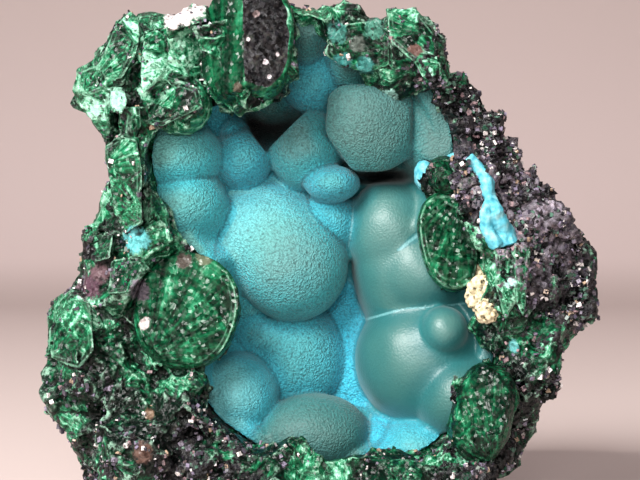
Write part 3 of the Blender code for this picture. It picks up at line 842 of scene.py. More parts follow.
def hollow_depth(points):
    """Distance in mm, about, of each point outside the wall of the hollow."""
    return (reach_of(points, HOLLOW_CENTRES, HOLLOW_AXES).min(axis=1) - 1.0) * HOLLOW_RADIUS


def keep_in_box(points):
    low, high = (from_frame(corner) for corner in cad_box)
    return np.clip(points, low + BOX_MARGIN, high - BOX_MARGIN)


def nearness(points, x, z, reach):
    """1 at a place in the front view, and less the further away, next to nothing at two reaches."""
    return np.exp(-(((points[:, 0] - x) ** 2 + (points[:, 2] - z) ** 2) / reach**2))


def crevice_depth(piece, passes):
    """How far each vertex lies below its smoothed surroundings, in mm."""
    points = get_points(piece)
    return ((neighbours_average(piece, points, passes) - points) * get_normals(piece)).sum(axis=1)


rock = new_piece("ore_and_malachite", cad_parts["host_rock"].data.copy())
bm = bmesh.new()
bm.from_mesh(rock.data)
bmesh.ops.remove_doubles(bm, verts=bm.verts, dist=1e-6)
for slab in SLABS.values():
    add_slab(bm, *slab)
bm.to_mesh(rock.data)
bm.free()
remesh(rock, ROCK_VOXEL)
report(rock)

# %% [markdown]
# ## Breaking the rock's surface
# Real broken rock has large faces with smaller ones on them, so the surface is broken twice, first
# coarse, then fine. Bare ore gets lumps, crumbs and pits on top. The slabs' own faces are left almost
# flat. Before that the outline is nudged in a few places, and at the end the rock is drawn in
# under the masses, which are pieces of their own.

# %% Break the rock's surface
BASE_HEIGHT = 0.05
BIG_FACES = {"size": 6.4, "seed": 1, "tilt": 0.8, "level": 1.1, "stretch": (1.0, 1.0, 1.25)}
SMALL_FACES = {"size": 2.6, "seed": 2, "tilt": 1.0, "level": 0.4}
CRUMBS = {"size": 1.15, "seed": 3, "tilt": 1.2, "level": 0.4}
SLAB_FREEDOM = 0.15  # share of the breaking that a slab's face gets
LUMP_SIZE = 3.2
LUMP_HEIGHT = 2.0
BLOCK = 2.6  # size of the blocks that some pits are left by
PIT_DEPTH = 1.4
GRIT_HEIGHT = 0.06
GRIT_SIZE = 0.7


def wall_share(points):
    """1 on the wall of the hollow, behind the mouth's edge, and 0 away from it."""
    near = np.clip(2.2 - np.abs(hollow_depth(points)), 0.0, 1.0)
    return near * np.clip((points[:, 1] - CRUST_FRONT + 2.0) / 2.0, 0.0, 1.0)


def settle(piece, points):
    """Moves the piece's points, kept in the box, and gives the normals that this makes."""
    set_points(piece, keep_in_box(points))
    return get_normals(piece)


points = get_points(rock)
normals = get_normals(rock)
free = (1.0 - wall_share(points)) * np.clip((points[:, 2] - BASE_HEIGHT) / 1.5, 0.0, 1.0)
for x, z, reach, out in NUDGES:
    points += normals * (out * nearness(points, x, z, reach) * free)[:, None]
green = green_share(points)
free *= np.where(slab_rim(points) > 0.0, SLAB_FREEDOM, 1.0)
points = break_flat(points, normals, free * (0.7 + 0.25 * green), **BIG_FACES)
points = break_flat(points, settle(rock, points), free * 0.75, **SMALL_FACES)
ore = np.clip(1.4 - 2.0 * green, 0.0, 1.0) * free
lumps = ore * LUMP_HEIGHT * (pebbles(points, LUMP_SIZE, 9) - 0.75)
points += settle(rock, points) * lumps[:, None]
normals = settle(rock, points)
points = break_flat(points, normals, ore, **CRUMBS)
blocks = random_of(np.round(cells_of(points, BLOCK, 4)[2][:, 0], 3), 4)[:, 0]
points -= normals * (ore * PIT_DEPTH * np.clip((blocks - 0.6) / 0.3, 0.0, 1.0))[:, None]
print("the ore covers", round(float((ore > 0.5).mean()) * 100), "% of the rock")

# %% Draw the rock in under the masses
move = GRIT_HEIGHT * wave(points, GRIT_SIZE, 8) * free
for name in MASSES:
    near = np.clip(1.0 - np.abs(in_mass(points, name)[1] - 1.0) / 0.3, 0.0, 1.0)
    move -= DRAWN_IN * near * free
on_wall = np.abs(hollow_depth(points)) < 1.0
points += normals * move[:, None]
for name in BREAKS:
    near = np.clip((1.3 - in_mass(points, name)[1]) / 0.2, 0.0, 1.0) * free
    points = cut_at_breaks(points, name, near, DRAWN_IN)
points[on_wall] = deepen(points)[on_wall]
set_points(rock, keep_in_box(points))
print("of", len(points), "points,", int(on_wall.sum()), "lie on the wall of the hollow")

# %% [markdown]
# ## What the rock's finish needs to know
# As on the crust, each vertex carries what its colour depends on: its share of malachite, the
# way its fibres run, a tone, how deep it lies in a crevice, which sets painted shade there and a
# painted highlight on ridges, and stains of other minerals with a few painted glints. A few of
# those stand where they do on the real specimen, so they are a table of places in the front view.

# %% What the rock's finish needs to know
PATCHES = (  # X, Z, reach in mm, screen colour: stains and coatings of other minerals, and painted highlights: a lit facet at the top left and glints on the overhang's dark face
    (-27.6, 40.5, 1.9, (92, 176, 178)), (-20.4, 37.4, 1.2, (90, 84, 78)), (-17.4, 38.0, 1.2, (92, 104, 82)),
    (-34.8, 33.4, 1.8, (84, 60, 72)), (-33.0, 35.6, 1.5, (96, 74, 80)), (-35.0, 39.0, 1.3, (10, 10, 12)),
    (-27.0, 33.0, 1.5, (104, 98, 108)), (-26.6, 8.6, 1.5, (94, 72, 64)), (-25.6, 14.4, 0.8, (122, 100, 82)),
    (-26.2, 27.9, 0.8, (196, 186, 184)), (14.4, 69.0, 1.0, (96, 72, 66)), (10.6, 62.0, 1.0, (150, 200, 190)),
    (2.6, 71.6, 1.5, (58, 118, 108)), (8.2, 72.2, 1.5, (60, 116, 100)), (3.4, 67.2, 1.3, (52, 122, 118)),
    (6.8, 66.6, 1.3, (52, 118, 112)), (5.6, 69.8, 1.2, (78, 88, 82)),
    # painted highlights: the next three white patches are a lit facet, and the four small pale ones after them glints
    (-22.2, 73.2, 1.2, (226, 216, 216)), (-20.4, 74.2, 1.4, (230, 220, 220)),
    (-18.4, 74.9, 1.2, (224, 214, 216)), (-10.8, 70.6, 0.32, (206, 198, 202)),
    (-8.2, 67.2, 0.4, (216, 208, 214)), (-6.4, 68.4, 0.3, (210, 202, 206)),
    (-7.6, 65.0, 0.28, (206, 198, 202)), (-9.6, 74.4, 0.5, (150, 132, 132)),
    (-12.4, 63.4, 0.7, (84, 76, 66)), (-30.4, 61.6, 1.7, (150, 206, 182)), (28.6, 34.0, 0.8, (170, 214, 206)),
    (17.2, 23.6, 1.2, (60, 130, 96)), (29.0, 24.6, 1.0, (80, 150, 150)), (24.2, 54.4, 0.9, (90, 150, 130)),
)


def paint_patches(piece, points):
    """Stores the colour of the patch nearest to each point, and how surely the point is in it."""
    table = np.array([patch[:3] for patch in PATCHES])
    apart = np.linalg.norm(drawn_at(points)[:, None, :] - table[:, :2], axis=2)
    shares = 1.0 - apart / (2.0 * table[:, 2])
    share = np.where(points[:, 1] < FRONT_DEPTH, shares.max(axis=1), 0.0)
    shades = np.array([colour(*patch[3])[:3] for patch in PATCHES])
    set_attribute(piece, "patch_share", np.clip(share, 0.0, 1.0))
    set_attribute(piece, "patch", shades[shares.argmax(axis=1)])


SHEAF_SIZE = 4.2  # of a sheaf of fibres, in mm
TONES = (  # X, Z, reach in mm, how much paler the malachite is there, or darker below 0
    (-28.0, 69.0, 6.0, 0.35), (-34.0, 62.0, 4.0, 0.3), (-30.0, 12.0, 8.0, -0.4), (-20.0, 10.0, 7.0, -0.35),
    (30.0, 14.0, 7.0, -0.4), (36.0, 30.0, 6.0, -0.2), (-29.0, 50.0, 5.0, -0.15), (-38.0, 28.0, 5.0, 0.1),
)
PALE_ORE = (31.0, 46.0, 9.0, 11.0)  # X, Z, width and height of the pale ore on the right
CREVICE_PASSES = 6


def paint_stone(piece, green, growth, tone, crevices=1.0):
    """Stores what the stone's finish reads; crevices is a share of how deep they look, which sets the painted shade
    in them and the painted highlight on ridges.
    """
    points = get_points(piece)
    paint_patches(piece, points)
    set_attribute(piece, "green", green)
    set_attribute(piece, "growth", growth)
    set_attribute(piece, "tone", tone)
    set_attribute(piece, "crevice", crevices * crevice_depth(piece, CREVICE_PASSES))
    set_attribute(piece, "pale", np.exp(-spread(points, *PALE_ORE)))


def kept_share(points):
    """Where the rock keeps its triangles: less at the back, none against the crust or at the base."""
    keep = np.clip(1.15 - (points[:, 1] - 6.0) / 14.0, 0.0, 1.0)
    keep[(hollow_depth(points) < 0.5) & (points[:, 1] > CRUST_FRONT + 1.0)] = 0.0
    keep[points[:, 2] < 1.0] = 0.0
    return keep


thin_out(rock, ROCK_TRIANGLES, kept_share(get_points(rock)))
points = get_points(rock)
rock_green = green_share(points)
growth, tone = fibre_sheaves(points, SHEAF_SIZE, 1)
for x, z, reach, shift in TONES:
    tone = tone + shift * nearness(points, x, z, reach) * (points[:, 1] < FRONT_DEPTH)
paint_stone(rock, rock_green, growth, tone)
set_attribute(rock, "rim", slab_rim(points))
shade_smooth(rock)
report(rock)

# %% [markdown]
# ## Making the six masses
# Each mass starts as an icosphere, is squared by its power, and is cut flat where it broke. Then it
# is remeshed and roughened as the rock is, only finer.

# %% Making the six masses
MASS_VOXEL = 0.2
MASS_ROUGHNESS = {
    "overhang": 0.12, "big_fan": 0.08, "fan": 0.25, "right_boss": 0.4, "right_bead": 0.3, "right_wedge": 0.12,
}
MASS_TONES = {  # mass: tone of its malachite, from 0, nearly black, to 1, pale
    "overhang": 0.5, "big_fan": 0.52, "fan": 0.8, "right_boss": 0.3, "right_bead": 0.4, "right_wedge": 0.52,
}
HINGES = {  # mass: the place its fibres run out from
    "overhang": (-13.0, -6.0, 46.0), "big_fan": (-25.8, -2.4, 22.6), "fan": (-24.8, -1.4, 57.0),
    "right_wedge": (22.0, 1.4, 50.0), "right_boss": (26.0, -4.0, 6.0),
}
SMOOTH_MASSES = ("big_fan", "fan", "right_wedge", "overhang")
MASS_BIG_FACES = {"size": 4.4, "seed": 21, "tilt": 0.35, "level": 0.35}
MASS_SMALL_FACES = {"size": 1.6, "seed": 22, "tilt": 0.5, "level": 0.12}
MASS_SHEAF_SIZE = 3.6
RIB = 0.05  # height in mm of the ribs along a mass's fibres
SMOOTH_GREEN, ROUGH_GREEN = 1.5, 1.3  # the finish speckles malachite less, the more it exceeds 1
# share of the painted crevice shade and ridge highlight that the smooth masses get
SMOOTH_CREVICES = 0.3
DARK_FACE = np.array((0.40, -0.91, 0.12))  # the way the overhang's face of dark ore looks
FACE_EDGE = 0.95  # reach of the edge of a mass's broken face
RIMMED = {"big_fan": -0.1, "fan": -2.0, "right_wedge": -2.0}  # mass: how far left its pale rim goes


def mass_block(name):
    """The plain mass: a squared sphere, cut flat at its breaks and remeshed."""
    centre, half_axes, squareness, turn = MASSES[name]
    bm = bmesh.new()
    bmesh.ops.create_icosphere(bm, subdivisions=5, radius=1.0)
    for vertex in bm.verts:
        vertex.co /= sum(abs(part) ** squareness for part in vertex.co) ** (1.0 / squareness)
    bmesh.ops.transform(bm, matrix=placement(centre, half_axes, turn), verts=bm.verts)
    piece = piece_from_bmesh("malachite_" + name, bm)
    set_points(piece, cut_at_breaks(get_points(piece), name, 1.0))
    remesh(piece, MASS_VOXEL)
    return piece


def roughen_mass(piece, name):
    """Breaks and ribs the mass's surface, and gives its fibres' directions and tones."""
    points = get_points(piece)
    rough = np.full(len(points), MASS_ROUGHNESS[name])
    points = break_flat(points, get_normals(piece), rough, **MASS_BIG_FACES)
    set_points(piece, points)
    points = break_flat(points, get_normals(piece), rough, **MASS_SMALL_FACES)
    growth, tone = fibre_sheaves(points, MASS_SHEAF_SIZE, 21)
    height = 0.05 * wave(points, 0.6, 23)
    if name in HINGES:
        growth = points - np.array(HINGES[name])
        directions = growth / np.maximum(np.linalg.norm(growth, axis=1), 1e-6)[:, None]
        height = RIB * wave(directions, 0.12, 24) + height
    settle(piece, points + get_normals(piece) * height[:, None])
    return growth, tone


def make_mass(name):
    piece = mass_block(name)
    growth, tone = roughen_mass(piece, name)
    points = get_points(piece)
    smooth = name in SMOOTH_MASSES
    _, half_axes, squareness, _ = MASSES[name]
    local = in_mass(points, name)[0]
    face_reach = (np.abs(local[:, [0, 2]]) ** squareness).sum(axis=1) ** (1.0 / squareness)
    green = np.full(len(points), SMOOTH_GREEN if smooth else ROUGH_GREEN)
    if name == "overhang":
        dark = np.clip((get_normals(piece) @ DARK_FACE - 0.72) / 0.15, 0.0, 1.0)
        dark *= np.clip((0.9 + 0.12 * wave(points, 2.5, 25) - face_reach) / 0.08, 0.0, 1.0)
        green -= 1.8 * dark
    tone = 0.7 * MASS_TONES[name] + 0.3 * tone
    paint_stone(piece, green, growth, tone, SMOOTH_CREVICES if smooth else 1.0)
    rim = (FACE_EDGE - face_reach) * min(half_axes[0], half_axes[2])
    set_attribute(piece, "rim", np.where(local[:, 0] > RIMMED.get(name, 9.0), rim, 0.0))
    shade_smooth(piece)
    report(piece)
    return piece


masses = [make_mass(name) for name in MASSES]

# %% [markdown]
# ## Places on the rock
# Small pieces sit on the broken surface, whose depth nobody can read from a table. A ray from the
# camera through the place, as it is drawn in the front view, finds where it meets the rock.

# %% Places on the rock
bpy.context.view_layer.update()
rock_surface = BVHTree.FromObject(rock, bpy.context.evaluated_depsgraph_get())


def on_rock(x, z, proud=0.0):
    """The point of the rock seen at X and Z, in mm, brought forward by a little."""
    eye = Vector(to_frame((0.0, -CAMERA_DISTANCE, CAMERA_HEIGHT)))
    aim = Vector(to_frame((x, 0.0, z))) - eye
    hit = rock_surface.ray_cast(eye, aim.normalized())[0]
    return from_frame(hit) - np.array((0.0, proud, 0.0))


print("the rock at the vein's top:", on_rock(23.6, 51.6).round(2))

# %% [markdown]
# ## The turquoise vein
# A crack in the ore on the right is filled with fresh turquoise chrysocolla, in two strands that
# meet above and widen below. Each strand is a tube along a few points on the rock, and then the
# tubes are joined in one skin and made uneven.

# %% The turquoise vein
STRANDS = (  # X, Z and radius of each point
    ((22.2, 52.8, 0.9), (23.6, 51.4, 1.1), (25.0, 49.2, 1.2), (25.5, 46.8, 1.0), (26.4, 44.4, 1.3),
     (27.5, 41.8, 1.6), (28.2, 39.6, 1.7)),
    ((25.4, 46.8, 0.7), (24.8, 44.6, 0.9), (24.9, 42.4, 1.0), (25.7, 40.8, 1.1), (26.6, 39.6, 1.2)),
)
SEAM_LUMPS = (  # centre and half-axes of two more lumps of it, beside the bead
    ((15.9, 5.4, 50.4), (1.5, 3.0, 2.4)), ((20.6, 4.6, 52.9), (1.3, 2.4, 0.8)),
)
VEIN_VOXEL = 0.16
STRAND_LIFT = 0.1  # share of its radius by which a strand stands out of the rock


def strand_tube(name, points):
    curve = bpy.data.curves.new(name, "CURVE")
    curve.dimensions = "3D"
    curve.bevel_depth = MM
    curve.bevel_resolution = 3
    curve.use_fill_caps = True
    spline = curve.splines.new("POLY")
    spline.points.add(len(points) - 1)
    for point, (x, z, radius) in zip(spline.points, points):
        point.co = (*to_frame(on_rock(x, z, STRAND_LIFT * radius)), 1.0)
        point.radius = radius
    return new_piece(name, curve)


bm = bmesh.new()
for points in STRANDS:
    tube = strand_tube("strand", points)
    graph = bpy.context.evaluated_depsgraph_get()
    bm.from_mesh(bpy.data.meshes.new_from_object(tube.evaluated_get(graph)))
    bpy.data.objects.remove(tube)
for centre, half_axes in SEAM_LUMPS:
    add_ellipsoid(bm, centre, half_axes, 24)
vein = piece_from_bmesh("turquoise_vein", bm)
remesh(vein, VEIN_VOXEL)
relax(vein, 3)
points = get_points(vein)
points += get_normals(vein) * (0.3 * wave(points, 1.6, 41) + 0.1 * wave(points, 0.6, 42))[:, None]
set_points(vein, points)
shade_smooth(vein)
report(vein)

# %% [markdown]
# ## The cream patch
# Beside the vein sits a granular patch of a cream mineral with black pits. Rounded grains raise it.

# %% The cream patch
CREAM = (  # X and Z, half-axes
    ((24.2, 32.4), (2.4, 1.6, 2.9)), ((23.5, 35.2), (1.9, 1.5, 1.8)), ((25.0, 29.8), (1.7, 1.4, 1.9)),
)
CREAM_GRAIN = 0.95

bm = bmesh.new()
for (x, z), half_axes in CREAM:
    add_ellipsoid(bm, on_rock(x, z, 0.2), half_axes, 32)
cream = piece_from_bmesh("cream_patch", bm)
remesh(cream, VEIN_VOXEL)
points = get_points(cream)
height = 0.55 * (pebbles(points, CREAM_GRAIN, 43) - 0.5) + 0.2 * wave(points, 1.4, 44)
points += get_normals(cream) * height[:, None]
set_points(cream, points)
set_attribute(cream, "crevice", crevice_depth(cream, 4))
shade_smooth(cream)
report(cream)

# %% [markdown]
# ## Helpers for node trees
# Geometry Nodes and procedural finishes are small networks of nodes. Building one in a script is
# mostly adding a node, filling its inputs and linking it, so one short function does that for
# every tree. The rest are the steps that finishes are made of: sums, mixed colours, noise, and
# the attributes that the vertices carry.

# %% Helpers for node trees


def add_node(tree, kind, inputs=None, **settings):
    node = tree.nodes.new(kind)
    for name, value in settings.items():
        setattr(node, name, value)
    for name, value in (inputs or {}).items():
        if isinstance(value, bpy.types.NodeSocket):
            tree.links.new(value, node.inputs[name])
        else:
            node.inputs[name].default_value = value
    return node


def calculate(tree, operation, first, second=0.5, third=0.5, clamp=False):
    inputs = {0: first, 1: second, 2: third}
    return add_node(tree, "ShaderNodeMath", inputs, operation=operation, use_clamp=clamp).outputs[0]


def add(tree, first, second, clamp=False):
    return calculate(tree, "ADD", first, second, clamp=clamp)


def less(tree, first, second):
    return calculate(tree, "SUBTRACT", first, second)


def times(tree, first, second):
    return calculate(tree, "MULTIPLY", first, second)


def vector_of(tree, operation, inputs):
    return add_node(tree, "ShaderNodeVectorMath", inputs, operation=operation).outputs[0]


def mix_colours(tree, factor, first, second, kind="MIX"):
    inputs = {0: factor, 6: first, 7: second}
    return add_node(tree, "ShaderNodeMix", inputs, data_type="RGBA", blend_type=kind).outputs[2]


def between(tree, value, low, high):
    """0 at low, 1 at high, smooth between them; low may be the larger."""
    inputs = {"Value": value, "From Min": low, "From Max": high}
    return add_node(tree, "ShaderNodeMapRange", inputs, interpolation_type="SMOOTHSTEP").outputs[0]


def attribute_of(tree, name, output="Fac"):
    return add_node(tree, "ShaderNodeAttribute", attribute_name=name).outputs[output]


def object_place(tree):
    return add_node(tree, "ShaderNodeTexCoord").outputs["Object"]


def noise_of(tree, place, size, detail=3.0, output="Fac", roughness=0.55):
    """Cloudy noise whose clouds are about size millimetres across."""
    inputs = {"Vector": place, "Scale": 1.0 / (size * MM), "Detail": detail, "Roughness": roughness}
    return add_node(tree, "ShaderNodeTexNoise", inputs).outputs[output]


def ramp_of(tree, value, stops, stepped=False):
    """A colour ramp through stops, each a place from 0 to 1 and a screen colour."""
    node = add_node(tree, "ShaderNodeValToRGB", {"Fac": value})
    if stepped:
        node.color_ramp.interpolation = "CONSTANT"
    while len(node.color_ramp.elements) < len(stops):
        node.color_ramp.elements.new(0.5)
    for element, (position, shade) in zip(node.color_ramp.elements, stops):
        element.position = position
        element.color = colour(*shade)
    return node.outputs["Color"]


def new_finish(name):
    finish = bpy.data.materials.new(name)
    finish.use_nodes = True
    shader = finish.node_tree.nodes["Principled BSDF"]
    return finish, finish.node_tree, shader


def new_group(name, inputs, outputs):
    """A shader node group with these named inputs, each with its value, and these outputs."""
    group = bpy.data.node_groups.new(name, "ShaderNodeTree")
    for label, value in inputs:
        group.interface.new_socket(label, in_out="INPUT", socket_type=FLOAT).default_value = value
    for label, kind in outputs:
        group.interface.new_socket(label, in_out="OUTPUT", socket_type=kind)
    return group, group.nodes.new("NodeGroupInput"), group.nodes.new("NodeGroupOutput")


FLOAT, VECTOR = "NodeSocketFloat", "NodeSocketVector"
print("helpers are ready")

# %% [markdown]
# ## Grains
# The bare ore is crumbly, and thousands of small crystals stand on it. Geometry Nodes scatter
# them: points are spread over the rock, as densely as an attribute says, each gets a block of its
# own size and turn, and a random number that the finish turns into its mineral.

# %% Grains
GRAINS = {  # piece: where, how many per square metre, smallest and largest in mm, seed
    "ore_grains": ("loose", 2.3e6, 0.2, 0.8, 1),
    "malachite_sugar": ("sugar", 1.6e6, 0.12, 0.45, 2),
}
SIZE_SEED = 7
MINERAL_SEED = 3


def scatter_tree():
    tree = bpy.data.node_groups.new("scattered_grains", "GeometryNodeTree")
    for label, kind in (
        ("Geometry", "NodeSocketGeometry"), ("Per Square Metre", FLOAT), ("Where", "NodeSocketString"),
        ("Smallest", FLOAT), ("Largest", FLOAT), ("Seed", "NodeSocketInt"),
        ("Finish", "NodeSocketMaterial"),
    ):
        tree.interface.new_socket(label, in_out="INPUT", socket_type=kind)
    tree.interface.new_socket("Geometry", in_out="OUTPUT", socket_type="NodeSocketGeometry")

    def node(kind, inputs=None, **settings):
        return add_node(tree, kind, inputs, **settings)

    def random_vector(low, high, seed):
        inputs = {0: low, 1: high, "Seed": seed}
        return node("FunctionNodeRandomValue", inputs, data_type="FLOAT_VECTOR").outputs[0]

    given = node("NodeGroupInput").outputs
    where = node(
        "GeometryNodeInputNamedAttribute", {"Name": given["Where"]}, data_type="FLOAT"
    ).outputs[0]
    density = times(tree, where, given["Per Square Metre"])
    scattered = node(
        "GeometryNodeDistributePointsOnFaces",
        {"Mesh": given["Geometry"], "Density": density, "Seed": given["Seed"]}, distribute_method="RANDOM",
    )
    turn = random_vector((0.0,) * 3, (2.0 * np.pi,) * 3, given["Seed"])
    small, large = (
        node("ShaderNodeCombineXYZ", {k: given[name] for k in range(3)}).outputs[0]
        for name in ("Smallest", "Largest")
    )
    size = random_vector(small, large, SIZE_SEED)
    block = node("GeometryNodeMeshCube", {"Size": (1.0, 1.0, 1.0)}).outputs[0]
    placed = node(
        "GeometryNodeInstanceOnPoints",
        {"Points": scattered.outputs["Points"], "Instance": block, "Rotation": turn, "Scale": size},
    ).outputs[0]
    chance = node("FunctionNodeRandomValue", {"Seed": MINERAL_SEED}, data_type="FLOAT").outputs[1]
    told = node(
        "GeometryNodeStoreNamedAttribute", {"Geometry": placed, "Name": "mineral", "Value": chance},
        data_type="FLOAT", domain="INSTANCE",
    ).outputs[0]
    real = node("GeometryNodeRealizeInstances", {"Geometry": told}).outputs[0]
    finished = node("GeometryNodeSetMaterial", {"Geometry": real, "Material": given["Finish"]}).outputs[0]
    tree.links.new(finished, node("NodeGroupOutput").inputs[0])
    return tree




def scatter(name, tree, finish):
    where, density, smallest, largest, seed = GRAINS[name]
    piece = new_piece(name, rock.data.copy())
    modifier = piece.modifiers.new("Scatter", "NODES")
    modifier.node_group = tree
    values = {
        "Per Square Metre": density, "Where": where, "Smallest": smallest * MM, "Largest": largest * MM,
        "Seed": seed, "Finish": finish,
    }
    for item in tree.interface.items_tree:
        if item.in_out == "INPUT" and item.name in values:
            modifier[item.identifier] = values[item.name]
    apply_modifiers(piece)
    report(piece)
    return piece


# %% Where the grains stand
points = get_points(rock)
outside = np.where((hollow_depth(points) > 1.5) | (points[:, 1] < 2.0), 1.0, 0.0)
outside *= np.clip((points[:, 2] - 0.6) / 1.0, 0.0, 1.0)
seen_side = 0.22 + 0.78 / (1.0 + np.exp((points[:, 1] - 10.0) / 3.0))
clump = np.clip(0.35 + 1.6 * wave(points, 3.2, 51), 0.04, 1.0)
bare = np.clip(1.15 - rock_green * 1.3, 0.0, 1.0)
set_attribute(rock, "loose", bare * outside * seen_side * clump)
sugar = np.clip(1.6 * wave(points, 4.0, 52) - 0.15, 0.0, 1.0)
set_attribute(rock, "sugar", rock_green * outside * seen_side * sugar)
grain_finish = bpy.data.materials.new("mineral_grains")
grain_tree = scatter_tree()
grains = [scatter(name, grain_tree, grain_finish) for name in GRAINS]

# %% [markdown]
# ## Two effects that several finishes share
# Sparkle: a broken mineral glitters because each tiny crystal face points its own way. Voronoi
# cells give each crystal a random colour, which tilts the surface's normal by that much.
# Velvet: the crust's skin is a felt of microscopic balls. The distance to the nearest Voronoi
# cell makes the balls, and serves both for their relief and for their painted shade and light.

# %% Sparkle and velvet
BEND = 0.0006  # share of noise in the place, so that the balls don't stand in rows
sparkle, given, made = new_group(
    "crystal_sparkle", (("Size", 0.5), ("Tilt", 0.5)), (("Normal", VECTOR), ("Tone", FLOAT)),
)
size_scale = calculate(sparkle, "DIVIDE", 1.0 / MM, given.outputs["Size"])
place = object_place(sparkle)
crystals = add_node(sparkle, "ShaderNodeTexVoronoi", {"Vector": place, "Scale": size_scale})
tilted = vector_of(sparkle, "SUBTRACT", {0: crystals.outputs["Color"], 1: (0.5, 0.5, 0.5)})
leaning = vector_of(sparkle, "SCALE", {0: tilted, "Scale": given.outputs["Tilt"]})
surface = add_node(sparkle, "ShaderNodeNewGeometry").outputs["Normal"]
normal = vector_of(sparkle, "NORMALIZE", {0: vector_of(sparkle, "ADD", {0: surface, 1: leaning})})
sparkle.links.new(normal, made.inputs["Normal"])
shades = add_node(sparkle, "ShaderNodeSeparateColor", {"Color": crystals.outputs["Color"]})
sparkle.links.new(shades.outputs[0], made.inputs["Tone"])

velvet, given, made = new_group("velvet_grain", (("Size", 0.5),), (("Height", FLOAT),))
place = object_place(velvet)
warp = noise_of(velvet, place, 1.2, 1.0, "Color")
bent = add_node(velvet, "ShaderNodeMix", {0: BEND, 4: place, 5: warp}, data_type="VECTOR")
size_scale = calculate(velvet, "DIVIDE", 1.0 / MM, given.outputs["Size"])
balls = add_node(
    velvet, "ShaderNodeTexVoronoi", {"Vector": bent.outputs[1], "Scale": size_scale, "Smoothness": 0.6},
    feature="SMOOTH_F1",
)
velvet.links.new(less(velvet, 1.0, balls.outputs["Distance"]), made.inputs["Height"])
print("groups:", sparkle.name, velvet.name)

# %% [markdown]
# ## The crust's finish
# Real chrysocolla is turquoise where it is thick and fresh, greyer and greener where a later skin
# has grown, and it has the dull sheen of candle wax. Here the colour is mixed from the two shades,
# the paler one partly a painted highlight, and from the distance to the crease that the vertices
# carry, with painted shade in the creases and pockets and a painted highlight along the seams.
# Then the velvet grain paints shade in the hollows between its balls and light on their tops.
# Frosted lobes are rough, waxy ones smoother, and a little sheen on the shader's own socket gives
# the pale edge that velvet has.

# %% The crust's finish
SEAM_HIGHLIGHT = colour(140, 205, 210)
CREASE_SHADOW = colour(10, 62, 74)
POCKET_SHADOW = colour(2, 14, 18)
BALL_SIZES = (0.34, 0.22)  # of the two sizes of grain in the velvet, in mm
FELT_MIDDLE = 0.68  # height of the felt that leaves the colour as it is
# limits of the painted grain shade and light, as factors on the colour
DARKEST, BRIGHTEST = 0.35, 1.5

crust_finish, tree, shader = new_finish("chrysocolla_velvet")
place = object_place(tree)
wax, crease, seam, front, gap = (
    attribute_of(tree, name) for name in ("wax", "crease", "seam", "front", "gap")
)
side_shade, front_shade = (attribute_of(tree, name, "Color") for name in ("side_shade", "front_shade"))
drift = less(tree, noise_of(tree, place, 5.0, 4.0), 0.5)
facing = add(tree, front, times(tree, drift, 0.9), clamp=True)
facing = times(tree, facing, between(tree, crease, 0.1, 1.6))
base = mix_colours(tree, facing, side_shade, front_shade)
# painted highlight: a pale line along the seams between some lobes
base = mix_colours(tree, times(tree, between(tree, seam, 0.16, 0.04), 0.35), base, SEAM_HIGHLIGHT)
# painted shade: frosted lobes are darkened in their creases
painted_crease_shade = times(tree, between(tree, crease, 0.3, 0.05), calculate(tree, "MULTIPLY_ADD", wax, -0.5, 0.5))
base = mix_colours(tree, painted_crease_shade, base, CREASE_SHADOW)
# painted shadow in the deep pockets
base = mix_colours(tree, times(tree, gap, 0.97), base, POCKET_SHADOW)

coarse, fine = (
    add_node(tree, "ShaderNodeGroup", {"Size": size}, node_tree=velvet).outputs["Height"]
    for size in BALL_SIZES
)
frosted = calculate(tree, "MULTIPLY_ADD", wax, -0.85, 1.0)
felt = add(tree, times(tree, coarse, 0.6), times(tree, fine, 0.4))
# painted shade and light: the felt darkens the colour in the hollows between the balls and lightens it on their tops
painted_grain_shade = times(tree, less(tree, felt, FELT_MIDDLE), times(tree, frosted, 1.25))
painted_grain_shade = calculate(tree, "MAXIMUM", add(tree, painted_grain_shade, 1.0), DARKEST)
painted_grain_shade = calculate(tree, "MINIMUM", painted_grain_shade, BRIGHTEST)
base = vector_of(tree, "SCALE", {0: base, "Scale": painted_grain_shade})
relief = times(tree, add(tree, times(tree, coarse, 0.7), times(tree, fine, 0.3)), frosted)
bump = add_node(tree, "ShaderNodeBump", {"Strength": 0.9, "Distance": 0.4 * MM, "Height": relief})
tree.links.new(base, shader.inputs["Base Color"])
tree.links.new(bump.outputs[0], shader.inputs["Normal"])
tree.links.new(calculate(tree, "MULTIPLY_ADD", wax, -0.3, 0.72), shader.inputs["Roughness"])
tree.links.new(times(tree, wax, 0.35), shader.inputs["Coat Weight"])
shader.inputs["Coat Roughness"].default_value = 0.42
shader.inputs["Sheen Weight"].default_value = 0.12
shader.inputs["Sheen Roughness"].default_value = 0.5
shader.inputs["Specular IOR Level"].default_value = 0.4
lining.data.materials.clear()
lining.data.materials.append(crust_finish)
print(crust_finish.name, "has", len(tree.nodes), "nodes")

# %% [markdown]
# ## The stone's finish
# Malachite grows as sheaves of fibres, so a broken face shows streaks that spread from one point,
# crossed by fine bands. Its ridges get a painted highlight, for the light that thin malachite lets
# through, and the rims of its slabs get pale lines. The growth vector that each vertex carries gives
# the streaks and bands: its direction makes the streaks, and its length the bands. Bare ore is a
# grainy mix of purplish grey, black, pink and tan minerals.

# %% The stone's finish: malachite
MALACHITE = (
    (0.30, (1, 12, 7)), (0.42, (3, 40, 24)), (0.53, (12, 84, 52)), (0.62, (42, 132, 92)), (0.74, (156, 212, 186)),
)
RIDGE_HIGHLIGHT = colour(170, 218, 192)
RIM_SHADE = colour(130, 190, 160)

